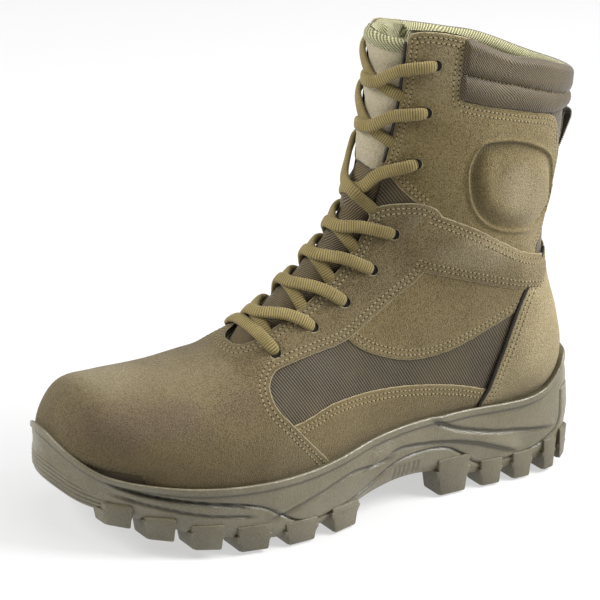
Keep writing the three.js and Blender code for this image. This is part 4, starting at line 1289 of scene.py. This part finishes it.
# A ribbed cord along points, kept flat to the given normals; both ends are drawn in and closed
def cordMesh(centres, normals, width, thick, rib, ribDepth, ends=(1.0, 1.0), roundness=0.8):
    lengths = np.concatenate([[0], np.cumsum(np.linalg.norm(np.diff(centres, axis=0), axis=1))])
    count = max(int(lengths[-1] / 0.3), 8)

    def along(distance, table):
        return np.column_stack([np.interp(distance, lengths, table[:, k]) for k in range(3)])

    def drawnIn(distance, end):
        return 1 - (1 - end) * (1 - smoothstep(0, 6, distance))

    def place(u, v):
        d = v * lengths[-1]
        centre, normal = along(d, centres), along(d, normals)
        forward = along(d + 0.8, centres) - along(d - 0.8, centres)
        forward /= np.maximum(np.linalg.norm(forward, axis=1, keepdims=True), 1e-9)
        sideways = np.cross(forward, normal)
        sideways /= np.maximum(np.linalg.norm(sideways, axis=1, keepdims=True), 1e-9)
        up = np.cross(sideways, forward)
        wave = 1 + ribDepth * (np.cos(d / rib * 2 * math.pi) - 1) / thick
        close = np.sqrt(np.clip(np.minimum(d, lengths[-1] - d) / 0.6, 0, 1))
        squeeze = drawnIn(d, ends[0]) * drawnIn(lengths[-1] - d, ends[1])
        turn = u * 2 * math.pi
        c, s = np.cos(turn), np.sin(turn)
        c = np.sign(c) * np.abs(c) ** roundness
        s = np.sign(s) * np.abs(s) ** roundness
        wide = width / 2 * squeeze * close * wave
        tall = thick / 2 * close * (1 + 0.25 * (1 - squeeze)) * wave
        return centre + sideways * (c * wide)[:, None] + up * (s * tall)[:, None]

    mesh = gridMesh(16, count, place, True,
                    uvOf=lambda u, v: np.stack([u * width * 2, v * lengths[-1]], axis=-1))
    layer = mesh.verts.layers.float.new("rib")
    uvLayer = mesh.loops.layers.uv.active
    for face in mesh.faces:
        for loop in face.loops:
            loop.vert[layer] = 0.5 + 0.5 * math.cos(loop[uvLayer].uv[1] / mm / rib * 2 * math.pi)
    return facingOutward(mesh)


def facingOutward(bm):
    bm.normal_update()
    if bm.calc_volume(signed=True) < 0:
        bmesh.ops.reverse_faces(bm, faces=bm.faces)
    return bm


# A strand through rows of station, distance across and height over the skin
def strand(name, rows, replaced=(), ends=(1.0, 0.74)):
    rows = np.array(rows, float)
    angle = acrossToAngle(rows[:, 0], rows[:, 1])
    points = placeAt(rows[:, 0], angle, rows[:, 2])
    normals = skinNormal(rows[:, 0], angle)
    run = curveThrough(np.hstack([points, normals * 10]), 0.9)
    mesh = cordMesh(run[:, :3], run[:, 3:], laceLook["width"], laceLook["thick"], laceLook["rib"],
                    laceLook["ribDepth"], ends)
    return newObject(name, mesh, laceCord, replaced)


def tongueTop(station, x=0.0):
    return float(tongueLift(np.array([station]), np.array([x]))[0])


# Dark cords of painted shadow along the counter's front edge
for tag, run, normals in shadowCords:
    shadowCord = cordMesh(run, normals, 2.4, 1.3, 1.1, 0.0, roundness=0.7)
    newObject("counterShadow_" + tag, shadowCord, holeDark)
for tag, run, normals in bindings:
    binding = cordMesh(run, normals, 1.5, 3.6, 1.1, 0.05, roundness=0.7)
    newObject("throatBinding_" + tag, binding, bindingDark)

firstStation, firstX = eyelets[0]
barHalf = [(0, 0.6 - firstX, -2.2), (0, 1.2 - firstX, 0.9), (-0.02, 3.2 - firstX, 2.6), (-0.06, -11, 3.4)]
barMiddle = [(-0.1, 0, max(tongueTop(firstStation), 0.4) + 2.7)]
barRows = barHalf + barMiddle + [(step, -x, lift) for step, x, lift in barHalf[::-1]]
strand("laceBar", [(firstStation + step, x, lift) for step, x, lift in barRows], ["lace_bar"], (0.74, 0.74))
for k in range(7):
    fromStation, fromX = eyelets[k]
    toStation, toX = eyelets[k + 1]
    gap = toStation - fromStation
    for side, tag in ((1, "toOuter"), (-1, "toInner")):
        over = (side > 0) != (k == 4)
        half = float(throatHalf(np.array([fromStation + 0.2 * gap]))[0])
        halfEnd = float(throatHalf(np.array([toStation - 0.12 * gap]))[0])
        cross = fromStation + 0.24 * gap
        crossX = 3.0 if k > 3 else 1.5
        surface = max(tongueTop(cross), 0.6) + laceLook["thick"] / 2
        lift = surface + (laceLook["thick"] * 0.95 if over else 0.0)

        def rising(x, low=cross, span=toStation - cross, reach=toX):
            return low + 0.06 * gap + (span - 0.06 * gap) * np.clip((x - 3.2) / (reach - 3.2), 0, 1)

        def falling(x, low=cross - 0.05 * gap, span=fromStation - cross, reach=fromX):
            return low + (span + 0.05 * gap) * np.clip((x - 3.2) / (reach - 3.2), 0, 1)

        brink = falling(half - 2.5)
        rows = [
            (falling(half + 8), -side * (half + 8), -1.6),
            (falling(half + 3), -side * (half + 3), -1.5),
            (brink, -side * (half - 2.5), max(tongueTop(brink, half - 2.5), -1.5) + 1.7),
            (cross - 0.04 * gap, crossX - side * 3.2, lift),
            (cross + 0.04 * gap, crossX + side * 3.2, lift),
            (rising(halfEnd - 1.0), side * (halfEnd - 1.0), 3.2 + (0.6 if over else 0.1)),
            (rising(halfEnd + 4.2), side * (halfEnd + 4.2), 3.0),
            (rising(toX - 3.0), side * (toX - 3.0), 2.5),
            (rising(toX - 0.8), side * (toX - 0.8), 0.7),
            (toStation, side * (toX - 0.1), -2.2),
        ]
        strand("laceCross_%d_%s" % (k + 1, tag), rows, ["lace_cross_%d" % (k + 1)] if side > 0 else ())

# Dark discs behind the eyelets: painted shade inside the punched holes
holes = bmesh.new()
for k in range(len(eyelets)):
    for side in (1, -1):
        centre = eyeletPoint(k, side)
        station, angle = toSkin(np.array([centre]))
        normal = skinNormal(station, angle)[0]
        made = bmesh.ops.create_circle(holes, cap_ends=True, segments=20, radius=(eyeletRadius + 0.3) * mm)
        turned = Vector(normal).to_track_quat("Z", "Y").to_matrix()
        bmesh.ops.rotate(holes, cent=(0, 0, 0), matrix=turned, verts=made["verts"])
        bmesh.ops.translate(holes, vec=toMetres(centre - normal * 0.15), verts=made["verts"])
newObject("eyeletHoleShade", holes, holeDark)
print("laces made")


# Pull loop and insole
loopRun = curveThrough([(0, 130.9, 171), (0, 133.6, 177), (0, 136.8, 186), (0, 138.6, 192.4),
                        (0, 137.6, 195.4), (0, 134.8, 195.7), (0, 133.4, 193), (0, 133.2, 187),
                        (0, 132.6, 180)], 0.8)
loopTangent = np.gradient(loopRun, axis=0)
loopNormals = np.column_stack([np.zeros(len(loopRun)), loopTangent[:, 2], -loopTangent[:, 1]])
loopMesh = cordMesh(loopRun, loopNormals, 17.6, 1.6, 1.1, 0.1, roundness=0.35)
newObject("pullLoop", loopMesh, webbingBlack, ["pull_loop"])

bedRows = np.array([[0, 42], [15, 40], [46, 33.5], [86, 31.5], [126, 27], [162, 23], [196, 21], [224, 20.5],
                    [248, 22], [270, 25], [290, 29], [308, 44]], float)
bedAt = smoothTable(bedRows)


insoleLook = {"toe": -140, "length": 276, "over": 6.6, "inset": 3.2, "cup": 2.2, "thickness": 3.4}


def insolePlace(u, v):
    y = insoleLook["toe"] + v * insoleLook["length"]
    z = bedAt(boot["heelBack"] - y)[:, 0] + insoleLook["over"]
    yz = np.column_stack([y, z + 2])
    outer, inner = skinPoint(*sideToSkin(yz, 1))[:, 0], skinPoint(*sideToSkin(yz, -1))[:, 0]
    taper = np.sqrt(np.clip(np.minimum(v, 1 - v) * insoleLook["length"] / 14, 0, 1))
    half = ((outer - inner) / 2 - insoleLook["inset"]) * (0.25 + 0.75 * taper)
    across = u * 2 - 1
    cup = insoleLook["cup"] * np.abs(across) ** 3
    return np.column_stack([(outer + inner) / 2 + across * half, y, z + cup])


insole = gridMesh(30, 110, insolePlace,
                  uvOf=lambda u, v: np.stack([u * 80, v * insoleLook["length"]], axis=-1))
insole.normal_update()
if sum(f.normal.z for f in insole.faces) < 0:
    bmesh.ops.reverse_faces(insole, faces=insole.faces)
solidified(insole, insoleLook["thickness"])
newObject("insoleBoard", insole, sockMaterial, ["insole"])
print("loop and insole made")


# Sole: the tread's outline in plan, as X and the distance from the heel's back, the same as in the CAD
treadRows = np.array([
    [0, 0], [15, 1.8], [25.5, 6.5], [33, 15], [37, 30], [38.3, 52], [38.3, 80], [39.5, 110], [44, 140],
    [51, 168], [54, 195], [52.8, 222], [46.8, 248], [34.5, 272], [20.5, 290], [5, 302], [-12, 308],
    [-27, 305.3], [-37.5, 299], [-45, 287], [-51, 270], [-54, 248], [-54, 225], [-51, 200], [-44, 170],
    [-38, 140], [-36, 110], [-37.5, 80], [-38.3, 52], [-37, 30], [-33, 15], [-25.5, 6.5],
    [-15, 1.8]], float)

# Distance from the heel's back, height of the web under the foot, and height of the rim
heightAt = smoothTable(np.array([
    [0, 12, 62], [10, 9.8, 61], [20, 9, 54.5], [28, 8, 49], [38, 7.3, 46], [60, 6.6, 45], [78, 8.2, 45.5],
    [90, 11.5, 45.8], [102, 14.2, 46], [125, 15.5, 45.4], [140, 13.6, 44.2], [155, 10.4, 42.4],
    [168, 7.6, 40.3], [182, 5.8, 38.2], [202, 4.6, 36.4], [212, 5.4, 36], [230, 8.2, 35.8],
    [253, 12.6, 36.4], [272, 18.3, 37.8], [283, 19.6, 39.3], [291, 21, 41.5], [300, 23.4, 47.5],
    [308, 28, 54]], float))

# Line in side view where the midsole meets the outsole, as distance from the heel's back and height
partingRows = np.array([
    [-8, 46], [15.9, 45], [17, 37], [17.4, 28.5], [19.5, 23.5], [31, 17.2], [49, 13.6], [62, 12.6],
    [71, 13.6], [77, 16.6], [84, 22], [93, 27], [103, 28.6], [115, 28.6], [127, 27], [152, 16.2],
    [168, 12.4], [181, 10.8], [188, 11], [195, 13], [203, 17.6], [212, 22.6], [220, 25.4], [232, 27.8],
    [242, 29], [254, 30.4], [268, 32.2], [279, 34.2], [287, 37], [292, 42], [294, 70], [320, 70]], float)
treadLine = np.column_stack([treadRows[:, 0], boot["heelBack"] - treadRows[:, 1], np.zeros(len(treadRows))])
treadRing = resample(curveThrough(treadLine, 1.0, True), 0.5, closed=True)
ringCount = len(treadRing)
ringTangent = np.roll(treadRing, -3, axis=0) - np.roll(treadRing, 3, axis=0)
ringTangent /= np.linalg.norm(ringTangent, axis=1, keepdims=True)
ringOutward = np.column_stack([ringTangent[:, 1], -ringTangent[:, 0], np.zeros(ringCount)])
if np.mean(np.sum(ringOutward * (treadRing - treadRing.mean(axis=0)), axis=1)) < 0:
    ringOutward = -ringOutward


def ringAt(u):
    place = (u % 1.0) * ringCount
    i = np.floor(place).astype(int) % ringCount
    f = (place - np.floor(place))[:, None]
    j = (i + 1) % ringCount
    return treadRing[i] * (1 - f) + treadRing[j] * f, ringOutward[i] * (1 - f) + ringOutward[j] * f


soleLook = {
    # lines along the wall, as distance from the heel's back and height, with width and rise; 1 marks
    # a ridge with one steep side, 0 a plain groove
    "ridges": [
        ([(108, 48), (100, 44.5), (88, 39.3), (65, 33.4), (47, 30.8), (20, 26.5)], 1.5, 1.3, 1),
        ([(150, 30), (141, 32.8), (127, 36.1), (109, 34.7), (87, 31.3), (64, 24.5),
        (44, 16.6)], 1.6, 1.4, 1), ([(215, 17), (205, 19.7), (178, 28), (161, 32.5), (142, 31.7),
        (127, 33.5)], 1.7, 1.3, 1), ([(290, 33), (280, 29.8), (261, 25.6), (243, 22.4), (226, 20.5),
        (215, 19.1)], 0.9, -0.9, 0), ([(286, 36.5), (270, 32.2), (250, 29.2), (232, 26.5),
        (220, 24)], 0.8, -0.8, 0), ],
    "lip": {"height": 2.6, "proud": 1.0},
    "parting": {"width": 0.8, "deep": 1.2},
    "ribs": {"from": 284, "pitch": 2.3, "deep": 0.6},      # round the toe
    "archRibs": {"pitch": 3.2, "deep": 0.8},
}
wallShares = np.array([0, 0.1, 0.45, 0.8, 1.0])
wallInsets = np.array([4, 1.8, 1.2, 1.8, 3.0])


def wallInset(share, rim):
    base = np.interp(share, wallShares, wallInsets)
    smooth = sum(np.interp(np.clip(share + d, 0, 1), wallShares, wallInsets)
                 for d in (-0.08, -0.04, 0.04, 0.08))
    lean = 0.22 * np.maximum(rim - 46, 0) * np.clip((share - 0.45) / 0.55, 0, 1)
    return (base + smooth) / 5 + lean


def signedAway(points, line):
    run = curveThrough(np.array(line, float), 1.0)
    tree = treeOf(np.column_stack([run, np.zeros(len(run))]))
    found = np.array([tree.find((p[0], p[1], 0))[1:] for p in points])
    index = found[:, 0].astype(int)
    tangent = np.gradient(run, axis=0)[index]
    offset = points - run[index]
    sign = np.sign(tangent[:, 0] * offset[:, 1] - tangent[:, 1] * offset[:, 0])
    ends = smoothstep(0, 10, np.minimum(index, len(run) - 1 - index))
    return found[:, 1] * sign, ends


partingDense = curveThrough(partingRows, 1.0)


# How far the wall stands proud at a distance from the heel's back and a height, and how much painted
# shade falls in its grooves and under its ridges
def wallDetail(fromHeel, z, web, rim):
    points = np.column_stack([fromHeel, z])
    proud, grooveShade = np.zeros(len(points)), np.zeros(len(points))
    for line, width, rise, kind in soleLook["ridges"]:
        away, ends = signedAway(points, line)
        if kind:
            slope = np.where(away > 0, width * 0.6, width * 3.4)
            proud += rise * np.exp(-(away / slope) ** 2) * ends
            proud -= 0.7 * rise * np.exp(-((away - width * 1.3) / (width * 0.9)) ** 2) * ends
            grooveShade += 0.75 * np.exp(-((away - width * 1.1) / (width * 0.5)) ** 2) * ends
        else:
            dip = np.exp(-(away / width) ** 2) * ends
            proud += rise * dip
            grooveShade += dip
    lip = soleLook["lip"]
    below = rim - z
    proud += lip["proud"] * smoothstep(lip["height"] + 0.5, lip["height"] - 0.5, below)
    grooveShade += 0.75 * np.exp(-((below - lip["height"] - 0.7) / 0.5) ** 2)
    parting = soleLook["parting"]
    away = nearest(treeOf(np.column_stack([partingDense, np.zeros(len(partingDense))])),
                   np.column_stack([points, np.zeros(len(points))]))
    seam = np.exp(-(away / parting["width"]) ** 2) * (z < rim - 2) * smoothstep(291, 284, fromHeel)
    proud -= parting["deep"] * seam
    grooveShade += seam
    ribs = soleLook["ribs"]
    toe = (smoothstep(ribs["from"] - 4, ribs["from"] + 4, fromHeel) * smoothstep(web, web + 1, z)
           * smoothstep(rim - 12, rim - 15, z))
    wave = 0.5 + 0.5 * np.cos((z - web) / ribs["pitch"] * 2 * math.pi)
    proud -= ribs["deep"] * wave ** 4 * toe
    grooveShade += 0.6 * wave ** 6 * toe
    ribs = soleLook["archRibs"]
    arch = (smoothstep(108, 112, fromHeel) * smoothstep(131, 127, fromHeel)
            * smoothstep(25, 23.5, z) * smoothstep(16, 18, z))
    fine = 0.5 + 0.5 * np.cos(fromHeel / ribs["pitch"] * 2 * math.pi)
    proud -= ribs["deep"] * fine ** 2 * arch
    grooveShade += 0.5 * fine ** 4 * arch
    return proud, np.clip(grooveShade, 0, 1)


footSkin = gridMesh(240, 200, lambda u, v: skinPoint(-1.93 + 9.4 * v, (u * 2 - 1) * math.pi), True)
bmesh.ops.recalc_face_normals(footSkin, faces=footSkin.faces)
footTree = bvhtree.BVHTree.FromBMesh(footSkin)
footSkin.free()


# Distance of points outside the upper's skin, in mm, negative inside it
def awayFromSkin(points):
    away = []
    for point in toMetres(points):
        place, normal, _, distance = footTree.find_nearest(point)
        away.append(math.copysign(distance, (Vector(point) - place).dot(normal)) / mm)
    return np.array(away)


# How far the wall moves out to clear the upper, along the ring at some shares of its height
pushShares = np.array([0.55, 0.7, 0.85, 1.0])
pushAlong = np.arange(0, ringCount, 4) / ringCount


def clearances():
    rows = []
    ring, outward = ringAt(pushAlong)
    heights = heightAt(boot["heelBack"] - ring[:, 1])
    for share in pushShares:
        inset = wallInset(np.full(len(pushAlong), share), heights[:, 1])
        point = ring - outward * inset[:, None]
        point[:, 2] = heights[:, 0] + (heights[:, 1] - heights[:, 0]) * share
        need = np.clip(2.6 - awayFromSkin(point), 0, 7)
        middle = np.median([np.roll(need, k) for k in range(-8, 9)], axis=0)
        rows.append(np.mean([np.roll(middle, k) for k in range(-3, 4)], axis=0))
    return np.array(rows)


clearance = clearances()


def wallPush(u, share):
    values = np.stack([np.interp(u % 1.0, pushAlong, row, period=1.0) for row in clearance])
    place = np.clip((share - pushShares[0]) / 0.15, 0, 2.999)
    low = np.floor(place).astype(int)
    part = place - low
    column = np.arange(len(low))
    push = values[low, column] * (1 - part) + values[low + 1, column] * part
    return push * smoothstep(0.45, 0.7, share)


# The sole's skin: v from 0 under the foot, 0.2 at the web's edge, up the wall to 0.9 and over the rim
# to 1
wallFrom, wallTo = 0.2, 0.9
rimRoll = 1.1


def solePlace(u, v):
    ring, outward = ringAt(u)
    fromHeel = boot["heelBack"] - ring[:, 1]
    heights = heightAt(fromHeel)
    web, rim = heights[:, 0], heights[:, 1]
    share = np.clip((v - wallFrom) / (wallTo - wallFrom), 0, 1)
    z = web + (rim - web) * share
    inset = wallInset(share, rim)
    proud, grooveShade = wallDetail(fromHeel, z, web, rim)
    edge = smoothstep(0.0, 0.03, share)
    point = ring - outward * (inset - proud * edge)[:, None]
    point[:, 2] = z
    push = wallPush(u, share)
    point = point + outward * push[:, None]
    inset = inset - push
    over = np.clip((v - wallTo) / (1 - wallTo), 0, 1)
    top = v > wallTo
    inner = ring - outward * (inset - proud)[:, None]
    bend = np.clip(over * 2, 0, 1) * math.pi / 2
    inner = inner - outward * (rimRoll * (1 - np.cos(bend)))[:, None]
    inner[:, 2] = rim + rimRoll * np.sin(bend)
    further = np.clip(over * 2 - 1, 0, 1)
    inner = inner - outward * (further * 5.0)[:, None]
    inner[:, 2] -= further * 2.5
    point = np.where(top[:, None], inner, point)
    under = np.clip(1 - v / wallFrom, 0, 1)
    below = v < wallFrom
    middle = np.column_stack([ring[:, 0] * 0.12, np.clip(ring[:, 1] * 0.97, -134, 134), web + 0.6])
    floorPoint = ring - outward * 4
    floorPoint[:, 2] = web
    flatPoint = floorPoint * (1 - under[:, None]) + middle * under[:, None]
    point = np.where(below[:, None], flatPoint, point)
    return point, np.where(top | below, 0, grooveShade)


# The part of the sole's skin above the parting line, or with below set the part under it
def soleSkin(name, below, material, replaced):
    grooveShades = []

    def place(u, v):
        points, grooveShade = solePlace(u, v)
        grooveShades.extend(grooveShade)
        return points

    mesh = gridMesh(760, 96, place, uvOf=lambda u, v: np.stack([u * 760, v * 70], axis=-1))
    layer = mesh.verts.layers.float.new("grooveShade")
    for vert, grooveShade in zip(mesh.verts, grooveShades):
        vert[layer] = grooveShade
    centres = toMillimetres([face.calc_center_median() for face in mesh.faces])
    parting = np.interp(boot["heelBack"] - centres[:, 1], partingDense[:, 0], partingDense[:, 1])
    drop = [face for face, under in zip(mesh.faces, centres[:, 2] < parting) if under != below]
    bmesh.ops.delete(mesh, geom=drop, context="FACES")
    bmesh.ops.remove_doubles(mesh, verts=mesh.verts, dist=1e-6)
    mesh.normal_update()
    outwards = sum((f.calc_center_median() - Vector((0, f.calc_center_median().y, 0.03))).dot(f.normal)
                   for f in list(mesh.faces)[::17])
    if outwards < 0:
        bmesh.ops.reverse_faces(mesh, faces=mesh.faces)
    return newObject(name, mesh, material, replaced)


soleSkin("midsoleFoam", False, rubberMidsole, ["midsole"])
soleSkin("outsoleRubber", True, rubberOutsole, ["outsole"])


# Lugs at the edge: distance from the heel's back, length, reach under the foot, height of the
# underside, and the height that the outer face climbs to
edgeLugs = [
    (12.5, 9, 15, 4, 22), (24, 10.5, 17, 0.8, 18.5), (43, 14, 19, 0, 15.5), (63.5, 15, 20, 0, 15),
    (88.5, 22, 22, 0, 21), (163, 20, 22, 0, 14), (191.5, 21, 24, 0, 12.6), (219, 20, 25, 0.8, 15),
    (243.5, 17, 23, 4, 17.5), (265.5, 14, 20, 9.3, 21.5), (283.5, 12, 15, 15, 27),
]

# Chevrons in the middle: distance from the heel's back, X, width, length, sweep, and height of the
# underside
middleLugs = [
    (20, 0, 26, 9, 3, 1.5), (36, 0, 24, 9, 3, 0), (54, 0, 24, 9, 3, 0), (73, 0, 24, 9, 3, 0),
    (166, 2, 30, 11, 6, 0), (186, 2, 36, 11, 6, 0), (206, 0, 38, 11, 6, 0.3), (226, -2, 36, 11, 6, 1.8),
    (246, -4, 32, 10, 6, 4.8), (266, -6, 26, 10, 5, 9.2),
]
ringFromHeel = boot["heelBack"] - treadRing[:, 1]


# X of the tread's edge on one side, at a distance from the heel's back
def treadEdge(side, fromHeel):
    close = np.abs(ringFromHeel - fromHeel) < 2.0
    return side * (treadRing[close, 0] * side).max()


# A moulded block between two rings of corners, its edges rounded with a bevel
def moulded(bm, lower, upper, rounding):
    verts = [bm.verts.new(toMetres(p)) for p in lower] + [bm.verts.new(toMetres(p)) for p in upper]
    n = len(lower)
    pairs = [(i, (i + 1) % n) for i in range(n)]
    faces = [bm.faces.new([verts[i], verts[j], verts[n + j], verts[n + i]]) for i, j in pairs]
    faces.append(bm.faces.new(verts[:n][::-1]))
    faces.append(bm.faces.new(verts[n:]))
    bmesh.ops.bevel(bm, geom=list(dict.fromkeys(e for f in faces for e in f.edges)), offset=rounding * mm,
                    offset_type="OFFSET", segments=2, profile=0.5, affect="EDGES", material=-1)


# Corners of a lug at one height, made shorter or longer about its middle
def squeezed(corners, middle, share, z):
    return [[x, middle + (y - middle) * share, z] for x, y in corners]


lugs = bmesh.new()
for fromHeel, length, reach, under, climb in edgeLugs:
    for side in (1, -1):
        a, b = fromHeel - length / 2, fromHeel + length / 2
        xa, xb = treadEdge(side, a), treadEdge(side, b)
        ya, yb = boot["heelBack"] - a, boot["heelBack"] - b
        web = float(heightAt(np.array([fromHeel]))[0, 0])
        foot = max(web + 2.5, under + 4)
        mid = (ya + yb) / 2
        flare = side * 0.8
        inward = side * reach * 0.62
        corners = [(xa, ya), (xb, yb), (xb - inward, yb - 1.5), (xa - inward, ya)]
        lower = squeezed(corners, mid, 0.72, under)
        upper = squeezed(corners, mid, 1.02, foot + 1)
        lower[0][0] -= side * 1.2
        lower[1][0] -= side * 1.2
        moulded(lugs, lower, upper, 0.9)
        skirt = [(xa + flare, ya), (xb + flare, yb), (xb - side * 5, yb), (xa - side * 5, ya)]
        low = squeezed(skirt, mid, 0.76, under + 0.6)
        high = squeezed(skirt, mid, 0.96, climb)
        high[0][0] -= side * 1.4
        high[1][0] -= side * 1.4
        moulded(lugs, low, high, 1.1)
for fromHeel, x, width, length, sweep, under in middleLugs:
    y = boot["heelBack"] - fromHeel
    top = float(heightAt(np.array([fromHeel]))[0, 0]) + 2
    for side in (1, -1):
        corners = [(x, y + length / 2 - sweep), (x, y - length / 2 - sweep),
                   (x + side * width / 2, y - length / 2), (x + side * width / 2, y + length / 2)]
        mid = sum(c[1] for c in corners) / 4
        lower = squeezed(corners, mid, 0.8, under)
        upper = squeezed(corners, mid, 1.0, top)
        moulded(lugs, lower, upper, 0.8)
lugs.normal_update()
bmesh.ops.recalc_face_normals(lugs, faces=lugs.faces)
lugPiece = newObject("treadLugs", lugs, rubberLugPaintedShade)
lugPiece.data.set_sharp_from_angle(angle=math.radians(32))
print("sole made")


# Stitches along every seam: a short pale thread between two dark holes, repeated
stitchLook = {"pitch": 2.6, "length": 1.9, "width": 0.8, "height": 0.62, "hole": 0.4}


def stitchTemplate():
    bm = bmesh.new()
    bmesh.ops.create_uvsphere(bm, u_segments=6, v_segments=4, radius=0.5)
    bmesh.ops.scale(bm, vec=[stitchLook[k] for k in ("length", "width", "height")], verts=bm.verts)
    thread = np.array([v.co[:] for v in bm.verts])
    threadFaces = [[v.index for v in f.verts] for f in bm.faces]
    bm.free()
    turn = np.linspace(0, 2 * math.pi, 7)[:-1]
    at = stitchLook["pitch"] / 2
    hole = stitchLook["hole"]
    ring = np.column_stack([np.cos(turn) * hole + at, np.sin(turn) * hole * 1.15, np.full(6, 0.1)])
    return thread, threadFaces, ring, [[0, 1, 2, 3, 4, 5]]


# Copies of a template set along places, each turned to its own directions
def repeated(name, template, faces, places, along, normals, material):
    across = np.cross(normals, along)
    frames = np.stack([along, across, normals], axis=1)
    points = places[:, None, :] + np.einsum("tk,nkd->ntd", template, frames)
    count, size = len(places), len(template)
    mesh = bpy.data.meshes.new(name)
    allFaces = [[i + n * size for i in face] for n in range(count) for face in faces]
    mesh.from_pydata(toMetres(points.reshape(-1, 3)).tolist(), [], allFaces)
    mesh.update()
    return pieceOf(name, mesh, material)


thread, threadFaces, ring, ringFaces = stitchTemplate()
places, alongs, ups = [], [], []
for piece, rows in stitchRows:
    tree = bvhtree.BVHTree.FromObject(piece, bpy.context.evaluated_depsgraph_get())
    for row in rows:
        row = resample(row, stitchLook["pitch"])
        if len(row) < 4:
            continue
        station, angle = toSkin(row)
        normals = skinNormal(station, angle)
        tangent = np.gradient(row, axis=0)
        for point, normal, ahead in zip(row, normals, tangent):
            start = Vector(toMetres(point + normal * 7))
            hit, face, _, _ = tree.ray_cast(start, Vector(-normal), 0.012)
            if hit is None:
                continue
            face = np.array(face)
            if face @ normal < 0:
                face = -face
            ahead = ahead - face * (ahead @ face)
            size = np.linalg.norm(ahead)
            if size < 1e-6:
                continue
            places.append(toMillimetres(hit))
            alongs.append(ahead / size)
            ups.append(face)
places, alongs, ups = np.array(places), np.array(alongs), np.array(ups)
repeated("stitchThreads", thread, threadFaces, places, alongs, ups, threadCord)
repeated("stitchHoles", ring, ringFaces, places, alongs, ups, holeDark)
print("stitches made:", len(places))


# Floor, light and camera. The glow keeps the floor pale, and the lights are discs with a place, size
# and power.
stageLook = {
    "floor": 0.3, "glow": 0.55, "world": 0.2,
    "key": {"at": (0.45, 0.95, 0.95), "size": 0.8, "power": 34.0},
    "fill": {"at": (-0.6, -1.65, 1.4), "size": 1.1, "power": 44.0},
    "back": {"at": (0.1, 0.0, 1.1), "size": 0.9, "power": 4.0},
    "target": (0.00205, -0.0165, 0.1092),
    "turn": 34.12, "height": 23.14, "roll": 5.1,    # degrees
    "distance": 1.5, "lens": 177.882, "sensor": 36,
}

bpy.ops.mesh.primitive_plane_add(size=40, location=(0, 0, -0.0003))
floor = bpy.context.object
floor.name = "floor"
floorMaterial, floorTree, floorShader = newMaterial("floor")
dress(floorTree, floorShader, (stageLook["floor"],) * 3 + (1,), {
    "Roughness": 0.9, "Specular IOR Level": 0.0, "Emission Color": (1, 1, 1, 1),
    "Emission Strength": stageLook["glow"]})
floor.data.materials.append(floorMaterial)

world = bpy.data.worlds.new("studio")
bpy.context.scene.world = world
world.use_nodes = True
background = world.node_tree.nodes["Background"]
background.inputs["Color"].default_value = (1, 1, 1, 1)
background.inputs["Strength"].default_value = stageLook["world"]

target = Vector(stageLook["target"])
for name in ("key", "fill", "back"):
    light = stageLook[name]
    data = bpy.data.lights.new(name, "AREA")
    data.shape = "DISK"
    data.size = light["size"]
    data.energy = light["power"]
    lamp = bpy.data.objects.new(name, data)
    bpy.context.scene.collection.objects.link(lamp)
    lamp.location = light["at"]
    lamp.rotation_euler = (target - Vector(light["at"])).to_track_quat("-Z", "Y").to_euler()

turn, height, roll = (math.radians(stageLook[k]) for k in ("turn", "height", "roll"))
ahead = Vector((math.cos(turn) * math.cos(height), -math.sin(turn) * math.cos(height), math.sin(height)))
cameraData = bpy.data.cameras.new("camera")
cameraData.sensor_width = stageLook["sensor"]
cameraData.lens = stageLook["lens"]
camera = bpy.data.objects.new("camera", cameraData)
bpy.context.scene.collection.objects.link(camera)
right = Vector((0, 0, 1)).cross(ahead).normalized()
upward = ahead.cross(right)
rolledRight = right * math.cos(roll) + upward * math.sin(roll)
rolledUp = upward * math.cos(roll) - right * math.sin(roll)
place = target + ahead * stageLook["distance"]
camera.matrix_world = Matrix((
    (rolledRight.x, rolledUp.x, ahead.x, place.x),
    (rolledRight.y, rolledUp.y, ahead.y, place.y),
    (rolledRight.z, rolledUp.z, ahead.z, place.z),
    (0, 0, 0, 1)))
bpy.context.scene.camera = camera
bpy.context.scene.view_settings.view_transform = "Standard"
